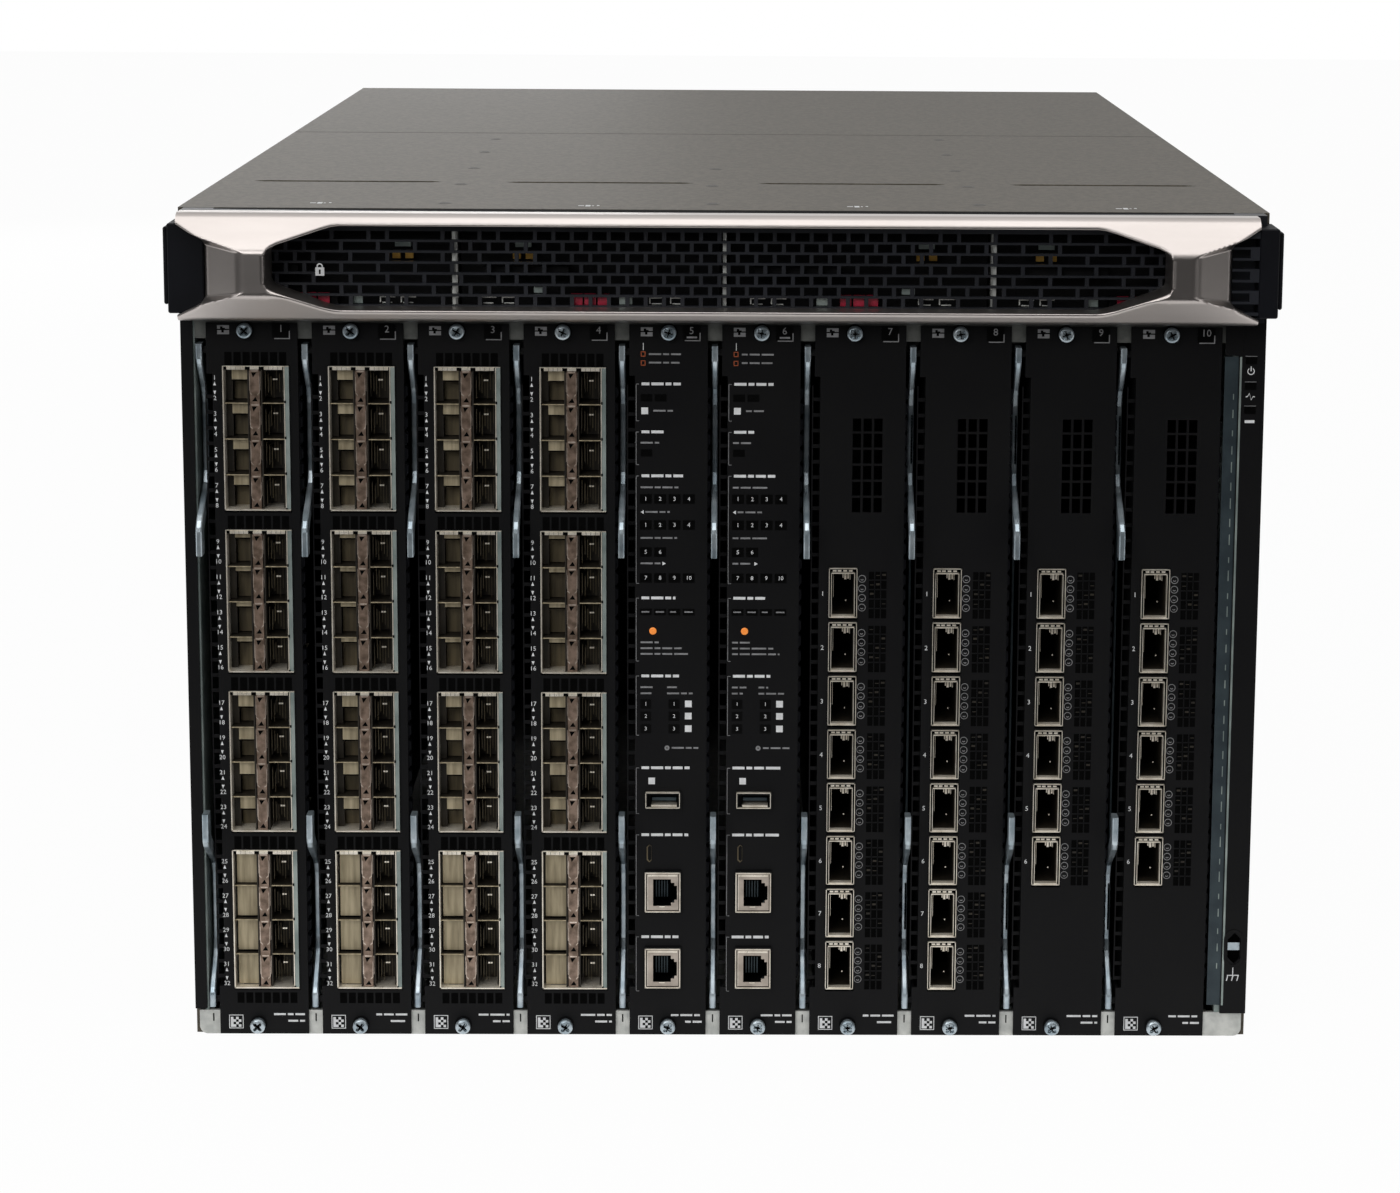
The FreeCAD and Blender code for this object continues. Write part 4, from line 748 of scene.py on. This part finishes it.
def insert():
    """Black insert: level bars joined by ties half a step apart in alternate rows, rims, end blocks and tabs."""
    low, high = (np.array(v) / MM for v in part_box("bezel_grille"))
    half, bottom, top, wall = 218.5, 306.3, 350.0, 2.0
    foot, rise, step, bar, tie = 311.1, 4.41, 7.42, 0.95, 0.8
    middle, field = INSERT_MIDDLE, 182.0
    left, right, head = middle - field, middle + field, foot + rise * 7 + bar
    grille = [[left, right, foot + rise * k, foot + rise * k + bar] for k in range(8)]
    for k, missing in enumerate(LEFT_OUT):
        for n in np.arange(-24, 25) + 0.5 * (k % 2):
            if abs(n) not in missing and abs(n * step) < field - 1:
                a = middle + n * step
                grille.append([a - tie, a + tie, foot + rise * k + bar, foot + rise * (k + 1)])
    grille += [[-half, left, bottom, top], [right, half, bottom, top], [left, right, bottom, foot],
               [left, right, head, top]]
    walls = [[-half, wall - half, bottom, top], [half - wall, half, bottom, top],
             [wall - half, half - wall, bottom, bottom + wall], [wall - half, half - wall, top - wall, top]]
    vent0, vent1, low_cap, high_cap, front = 203.4, 214.2, 309.6, 345.8, -19.5
    vent = [[vent0, vent1, foot + rise * k, foot + rise * k + bar] for k in range(8)]
    vent += [[vent1 - 3.7, vent1, foot + rise * k + bar, foot + rise * (k + 1)] for k in (1, 3, 5)]
    vent += [[vent0, vent1, low_cap + 0.6, foot], [vent0, vent1, head, high_cap - 0.6]]
    lips = [[vent0, vent1, low_cap + 0.6, low_cap + 1.2], [vent0, vent1, high_cap - 1.2, high_cap - 0.6]]
    rows = marks(grille, -9.0, -6.6) + marks(walls, -6.6, -0.3)
    rows += marks(vent, front, -17.3) + marks(lips, front, -9.0)
    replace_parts(fixed("grille_bars", rows, GRILLE, body="bezel"), "bezel_grille")
    side, tab = 222.2, (low_cap + 3.4, high_cap - 1.5)
    blocks = ((-side, -207.7, low_cap, high_cap, front), (vent1, side, low_cap, high_cap, front),
              (low[0], -side, *tab, -18.0), (side, high[0], *tab, -18.0))
    fixed("end_blocks", [], PLASTIC, [pad(a, b, c, d, 0.9, face, -0.3) for a, b, c, d, face in blocks], "bezel")
    # painted shadow: a matt black plate over the bezel's top, deepest in the middle, for the shade under the
    # cover's front edge
    reach = 206.0
    across = np.linspace(-reach, reach, 41)
    arc = np.stack([across, -4.0 - 5.2 * (1 - (across / reach) ** 2)], -1)
    points, faces = plate(np.concatenate([arc, [(reach, -0.35), (-reach, -0.35)]]), top, top + 0.04)
    fixed("cover_edge_shadow", [], SHADE, [(points[:, [0, 2, 1]], faces)], "bezel")


def behind_grille():
    """What shows through the grille: latches, handles, contacts and dividers, and the lock symbol on its front."""
    red, brass, clips, blocks = [], [], [], []
    for k, jog in enumerate((-4.1, 0, 0, 3.5)):
        middle, side = (k - 1.5) * 108.8, -1 if k < 2 else 1
        red += shift([[a, a + 4.6, -5.8, -4.8, 311.4, 316.4] for a in (-7.6, -2.2, 3.2)], middle + jog)
        for a in (-44.0, -35.6, 24.0, 32.4):
            clip = [[0, 6.2, 314.6, 315.1], [0, 0.5, 312.6, 314.6], [1.0, 5.0, 312.3, 312.7]]
            clips += shift(marks(clip, -5.6, -5.2), middle + a)
        blocks += shift([[-2.6, 2.6, -5.8, -5.0, 312.2, 315.4]], middle - side * 14.5)
        blocks += shift([[-2.6, 2.6, -5.8, -5.0, 316.8, 319.2]], middle + side * 20.0)
    for x in (-130.3, -81.6, 82.0, 130.6):
        brass += shift([[-4.2, -1.0, 0.0, 2.6, 329.8, 333.0], [1.0, 4.2, 0.0, 2.6, 329.8, 333.0]], x)
        blocks += shift([[-3.2, 3.2, 0.2, 2.6, 334.6, 336.4]], x)
    pale = [[x - 0.7, x + 0.7, -5.6, -4.8, 308.6, 346.5] for x in (-109.2, 0, 109.2)]
    fixed("supply_latches", red, RED)
    fixed("supply_contacts", brass, BRASS)
    fixed("supply_clips", clips, RAIL)
    fixed("supply_fittings", blocks, PLATE)
    fixed("divider_tabs", pale, RAIL)
    lock = (-162.8, 325.6)
    case = marks([[-1.8, 1.8, -1.9, 1.5], [-1.25, -0.75, 1.4, 2.0], [0.75, 1.25, 1.4, 2.0]], -9.12, -9.0)
    bow = ring((lock[0], lock[1] + 1.9), 1.25, 0.75, -9.12, -9.0, 16, (0, 180))
    fixed("lock_symbol", shift(case, *lock), PRINT, [bow], "bezel")
    fixed("lock_keyhole", shift(marks([[-0.35, 0.35, -1.2, 0.6]], -9.2, -9.1), *lock), SHADE, body="bezel")


# ---------------------------------------------------------------- chassis details

def cover_marks():
    """Pressed rings round the cover's rivets and small white bay marks near its front edge."""
    low, high = (np.array(v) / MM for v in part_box("top_cover_front"))
    top, seam = high[2], high[1] - FRONT / MM
    spots = ((-116, 309), (-116, 241), (-115, 164), (-115, 95), (-115, 21), (-5, 166), (-6, 93), (-5, 23),
             (106, 318), (105, 239), (104, 163), (105, 95), (105, 25))
    profile = np.array([(2.9, 0.0), (2.6, 0.14), (2.0, 0.14), (1.7, 0.04), (0.05, 0.04)])
    rims, ink = [], []
    for x, y in spots:
        points, faces = turned(profile, (x, y), 20)
        rims.append((points[:, [0, 2, 1]] + (0, 0, top), faces))
    for x, y in ((-166, 18), (-56, 13), (54, 15), (164, 13)):
        ink += [[x + a, x + b, y + c, y + d, top, top + 0.06] for a, b, c, d in
                ((-4, -1.6, 0, 1.6), (-1, 1, -1.6, 3.0), (1.6, 2.4, 0, 1.6), (3.6, 4.6, 0.6, 2.6))]
    line = [[low[0] + 1.0, -low[0] - 1.0, seam - 0.9, seam - 0.1, top, top + 0.05]]
    # the rivet rings are painted shade; the seam line is a dark joint
    fixed("cover_rivets", line, RIVET, rims)
    fixed("bay_marks", ink, PRINT)


def obround(across, up, width, height, count=12):
    """Corners of a slot with half-round ends: two half circles joined by straight sides."""
    angle = np.linspace(0, np.pi, count)
    radius, shift = width / 2, (height - width) / 2
    top = np.stack([across + radius * np.cos(angle), up + shift + radius * np.sin(angle)], -1)
    return np.concatenate([top, 2 * np.array([across, up]) - top])


def band(outer, inner, in0, in1):
    """A flat collar between two outlines with as many corners each."""
    rims = [np.insert(np.asarray(line, float), 1, depth, axis=1)
            for line, depth in ((outer, in0), (outer, in1), (inner, in1), (inner, in0), (outer, in0))]
    return np.concatenate(rims), grid_faces(5, len(outer), around=True)


def flange_marks():
    """Indicator windows with plain symbols, the collar and bar of the oval hole and the earth symbol."""
    x, hole, cells = 215.2, 39.0, (288.0, 277.4, 267.4)
    bars = shift(marks([[-0.2, 0.2, 285.1, 287.1], [-2.0, 2.0, 263.6, 264.8], [-0.2, 0.2, 27.4, 30.6],
                        [-2.4, 2.6, 27.0, 27.4]]), x)
    ink = [ring((x, 285.1), 1.5, 1.15, *INK, 16, (125, 415))]
    pulse = [(x - 1.9 + 0.75 * k, 274.3 + rise) for k, rise in enumerate((0, 0.1, 1.4, -1.3, 0.1, 0))]
    ink += [plate([(a, c), (b, d), (b, d + 0.4), (a, c + 0.4)], *INK) for (a, c), (b, d) in zip(pulse, pulse[1:])]
    ink += [plate([(a, 24.8), (a + 0.45, 24.8), (a + 0.95, 27.0), (a + 0.5, 27.0)], *INK)
            for a in (x - 2.8, x - 0.6, x + 1.6)]
    fixed("flange_windows", marks([[x - 2.4, x + 2.4, z, z + 3.4] for z in cells]), WINDOW)
    fixed("window_edges", marks([[x - 2.4, x + 2.4, z + 3.2, z + 3.4] for z in cells], -0.12), FAINT)
    fixed("flange_print", bars, PRINT, ink)
    collar = band(obround(x, hole, 8.2, 16.4), obround(x, hole, 6.0, 14.2), -0.35, 0.0)
    fixed("hole_collar", [], BLACK, [collar])
    fixed("earth_bar", [[x - 2.8, x + 2.8, 1.7, 2.2, 37.7, 41.0]], ZINC)
    # painted shade: a black plate behind the oval hole
    fixed("earth_hole_back", [[x - 3.0, x + 3.0, 3.2, 3.6, 31.6, 46.6]], SHADE)
    edge = BAYS[10]["left"] + BAYS[10]["width"]
    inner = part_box("front_flange_right")[0][0] / MM
    fixed("flange_head", [], BLACK, [pad(edge + 1.3, inner + 1.6, 291.6, 306.2, 0.8, -0.3, -0.02, 0.1)])
    fixed("cage_edge", [[210.6, 211.4, -0.12, -0.02, 14.0, 291.0]], PLATE)
    fixed("guide_strip", [[edge + 1.4, 210.6, 0.5, 0.8, 14.0, 291.0]], PLATE_DIM)
    slots = [[208.2, 208.6, 0.42, 0.5, z, z + 2.4 + (int(z) % 3)] for z in np.arange(30.0, 276.0, 7.6)]
    fixed("guide_slots", slots, PLATE)


def foot_plate(half, top, radius, in0, in1):
    """A wide plate whose two lower corners are quarter circles."""
    turn = np.linspace(0, np.pi / 2, 8)
    right = np.stack([half - radius + radius * np.sin(turn), radius - radius * np.cos(turn)], -1)
    left = right[::-1] * (-1, 1)
    return plate(np.concatenate([right, [(half, top), (-half, top)], left]) + (0, 0.04), in0, in1)


def rail_face():
    """Round-cornered front of the lower rail, the levers' slots in it and the guides beside the last modules."""
    front = foot_plate(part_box("card_rail_lower")[1][0] / MM, 10.4, 3.4, 1.25, 2.9)
    slots = [[bay["left"] - 3.2, bay["left"] - 2.7, 1.1, 1.26, 5.6, 9.0] for bay in BAYS.values()]
    guides = [[BAYS[n]["left"] - 2.9, BAYS[n]["left"] - 2.1, 12.0, 14.0, 16.0, 284.0] for n in (8, 9, 10)]
    fixed("rail_front", [], RAIL, [front])
    fixed("rail_slots", slots, SHADE)
    fixed("card_guides", guides, PLATE_DIM)


REAR = (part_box("rear_frame")[1][1] - FRONT) / MM


def fans(n):
    """Six fans of a tray: hub and seven blades whose pitch eases from root to tip, with a wire guard."""
    node = "fan_tray_%d" % n
    low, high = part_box(node)
    middle, rear = (low[0] + high[0]) / 2 / MM, REAR - 1.5
    rotor, guard, rims = [], [], []
    r, t = np.meshgrid(np.linspace(11, 29, 7), np.linspace(0, 1, 6), indexing="ij")
    quads, count = grid_faces(7, 6), r.size
    hem = [(i, i + 6) for i in range(0, 36, 6)] + [(i + 6, i) for i in range(5, 41, 6)]
    hem += [(i + 1, i) for i in range(5)] + [(i, i + 1) for i in range(36, 41)]
    blade_faces = quads[:, ::-1].tolist() + (quads + count).tolist()
    blade_faces += [[a, b, b + count, a + count] for a, b in hem]
    hub = [(0.05, rear - 9), (10, rear - 9), (11, rear - 10), (11, rear - 32), (0.05, rear - 32)]
    spoke = ((7, 0.6), (7, -0.6), (31, -0.6), (31, 0.6))
    for centre in [(middle + a, 154 + 93 * k) for a in (-33.5, 33.5) for k in (-1, 0, 1)]:
        rotor.append(turned(hub, centre, 28))
        for blade in range(7):
            turn = 2 * np.pi * blade / 7 + t * 0.75 + (r - 11) * 0.012
            skin = np.stack([centre[0] + r * np.cos(turn), rear - 12 - 16 * t, centre[1] + r * np.sin(turn)], -1)
            both = np.concatenate([skin.reshape(-1, 3), (skin + [0, 1.2, 0]).reshape(-1, 3)])
            rotor.append((both, blade_faces))
        guard += [ring(centre, 8 + 7 * k, 7 + 7 * k, rear - 3.0, rear - 2.0, 32) for k in range(4)]
        guard += [plate(rotated(spoke, a, centre), rear - 3.0, rear - 2.0)
                  for a in np.radians((45, 135, 225, 315))]
        rims.append(ring(centre, 33.5, 30.0, rear - 34, rear - 4, 40))
    fixed("fan_rotors_%d" % n, [], PLASTIC, rotor, node, material_slot=None)
    fixed("fan_guards_%d" % n, [], ZINC, guard, node)
    fixed("fan_frames_%d" % n, [], PLASTIC, rims, node, material_slot=None)


def inlets():
    """Contact blades of the four power inlets."""
    rows = []
    for x in np.arange(-1.5, 2) * 109.2:
        rows += [[x + a - 1, x + a + 1, REAR - 22, REAR - 7, 323 + b, 330 + b]
                 for a, b in ((-6.5, -1.5), (0, 2.5), (6.5, -1.5))]
    fixed("inlet_blades", rows, BRASS)


# ---------------------------------------------------------------- build

PAINTED = {COVER: ("chassis_shell", "top_cover_front", "top_cover_rear"),
           BLACK: ("front_flange_left", "front_flange_right"),
           RAIL: ("card_rail_lower", "rear_frame", "supply_shelf"), RAIL_DIM: ("card_rail_upper",),
           PLATE: ("cage_plate_left", "cage_plate_right"), BOARD: ("midplane", "fabric_modules")}
for material, nodes in PAINTED.items():
    for node in nodes:
        paint(node, material)
for n in range(1, 5):
    paint("power_supply_%d" % n, BLACK)
for n in range(1, 4):
    paint("fan_tray_%d" % n, PLASTIC)
    fans(n)
for slot, bay in BAYS.items():
    paint(bay["node"], BLACK)
    screws(slot)
    gaskets(slot)
    head_marks(slot)
    for kind in ("upper", "lower"):
        lever(slot, kind)
    if slot in DENSE:
        dense_print(slot)
        dense_cages(slot)
    elif slot in CONTROL:
        control_print(slot)
        jacks(slot)
    else:
        wide_cages(slot)
bezel()
insert()
behind_grille()
cover_marks()
flange_marks()
rail_face()
inlets()


# ---------------------------------------------------------------- stage

def stage_floor():
    """Pale floor: near white to the camera with the object's shadow left in, white to gloss, else pale."""
    material = bpy.data.materials.new("pale floor")
    material.use_nodes = True
    tree = material.node_tree
    shader = tree.nodes["Principled BSDF"]
    shader.inputs["Base Color"].default_value = linear("F4F4F4")
    shader.inputs["Roughness"].default_value = 0.9
    shader.inputs["Specular IOR Level"].default_value = 0.1
    rays = add(tree, "ShaderNodeLightPath")
    seen = add(tree, "ShaderNodeMath", [(0, rays.outputs["Is Camera Ray"])], operation="MULTIPLY")
    white_to_camera = 0.965
    seen.inputs[1].default_value = white_to_camera
    gloss = add(tree, "ShaderNodeMath", [(0, rays.outputs["Is Glossy Ray"]),
                                         (1, rays.outputs["Is Transmission Ray"])], operation="MAXIMUM")
    share = add(tree, "ShaderNodeMath", [(0, seen.outputs["Value"]), (1, gloss.outputs["Value"])],
                operation="MAXIMUM")
    white = add(tree, "ShaderNodeEmission", Color=WHITE, Strength=1.0)
    both = add(tree, "ShaderNodeMixShader",
               [(0, share.outputs["Value"]), (1, shader.outputs[0]), (2, white.outputs[0])])
    tree.links.new(both.outputs[0], tree.nodes["Material Output"].inputs["Surface"])
    size, near = 6.0, 0.62
    mesh = bpy.data.meshes.new("floor")
    mesh.from_pydata([(-size, -near, 0), (size, -near, 0), (size, size, 0), (-size, size, 0)], [], [(0, 1, 2, 3)])
    mesh.materials.append(material)
    item = bpy.data.objects.new("floor", mesh)
    bpy.context.scene.collection.objects.link(item)


def world_light():
    """Plain soft surroundings: white behind the object; for gloss bright overhead and behind, dark in front."""
    world = bpy.data.worlds.new("studio")
    bpy.context.scene.world = world
    world.use_nodes = True
    tree = world.node_tree
    tree.nodes.clear()
    rays = add(tree, "ShaderNodeLightPath")
    way = add(tree, "ShaderNodeTexCoord")
    split = add(tree, "ShaderNodeSeparateXYZ", [("Vector", way.outputs["Generated"])])
    ahead = add(tree, "ShaderNodeMapRange", [("Value", split.outputs["Y"])],
                **{"From Min": 0.0, "From Max": 0.9, "To Min": 0.04, "To Max": 1.0})
    over = add(tree, "ShaderNodeMapRange", [("Value", split.outputs["Z"])],
               **{"From Min": 0.35, "From Max": 0.9, "To Min": 0.0, "To Max": 1.0})
    tone = add(tree, "ShaderNodeMath", [(0, ahead.outputs["Result"]), (1, over.outputs["Result"])],
               operation="MAXIMUM")
    gloss = add(tree, "ShaderNodeBackground", [("Strength", tone.outputs["Value"])], Color=WHITE)
    soft = add(tree, "ShaderNodeBackground", Color=WHITE, Strength=0.3)
    white = add(tree, "ShaderNodeBackground", Color=WHITE, Strength=1.0)
    shade = soft
    for ray, other in (("Is Glossy Ray", gloss), ("Is Transmission Ray", white), ("Is Camera Ray", white)):
        shade = add(tree, "ShaderNodeMixShader",
                    [(0, rays.outputs[ray]), (1, shade.outputs[0]), (2, other.outputs[0])])
    add(tree, "ShaderNodeOutputWorld", [("Surface", shade.outputs[0])])


def lamp(name, at, aim, size, power):
    """A soft rectangular lamp at a point, aimed at another."""
    data = bpy.data.lights.new(name, "AREA")
    data.shape, data.size, data.size_y, data.energy = "RECTANGLE", size[0], size[1], power
    item = bpy.data.objects.new(name, data)
    bpy.context.scene.collection.objects.link(item)
    item.location = at
    item.rotation_euler = (Vector(aim) - Vector(at)).to_track_quat("-Z", "Y").to_euler()


def camera():
    """The camera fitted to the photograph."""
    data = bpy.data.cameras.new("camera")
    data.sensor_width, data.lens = 36.0, 81.856
    data.shift_x, data.shift_y = -0.05607, -0.17607
    data.clip_end = 100.0
    item = bpy.data.objects.new("camera", data)
    item.location = (0.006, -1.6008, 0.496)
    item.rotation_euler = tuple(math.radians(a) for a in (80.9908, -0.3951, -0.6564))
    bpy.context.scene.collection.objects.link(item)
    bpy.context.scene.camera = item


stage_floor()
world_light()
lamp("overhead", (0.02, -0.9, 1.9), (0, -0.3, 0.2), (3.2, 0.9), 13.5)
lamp("back left", (-0.8, 2.6, 0.56), (-0.15, 0.2, 0.35), (1.4, 0.3), 8)
lamp("front", (-0.9, -2.1, 1.2), (0, -0.3, 0.15), (1.4, 0.9), 15)
lamp("right", (1.4, -1.6, 0.7), (0, -0.2, 0.15), (0.6, 1.0), 1.5)
camera()
bpy.context.scene.view_settings.view_transform = "Standard"
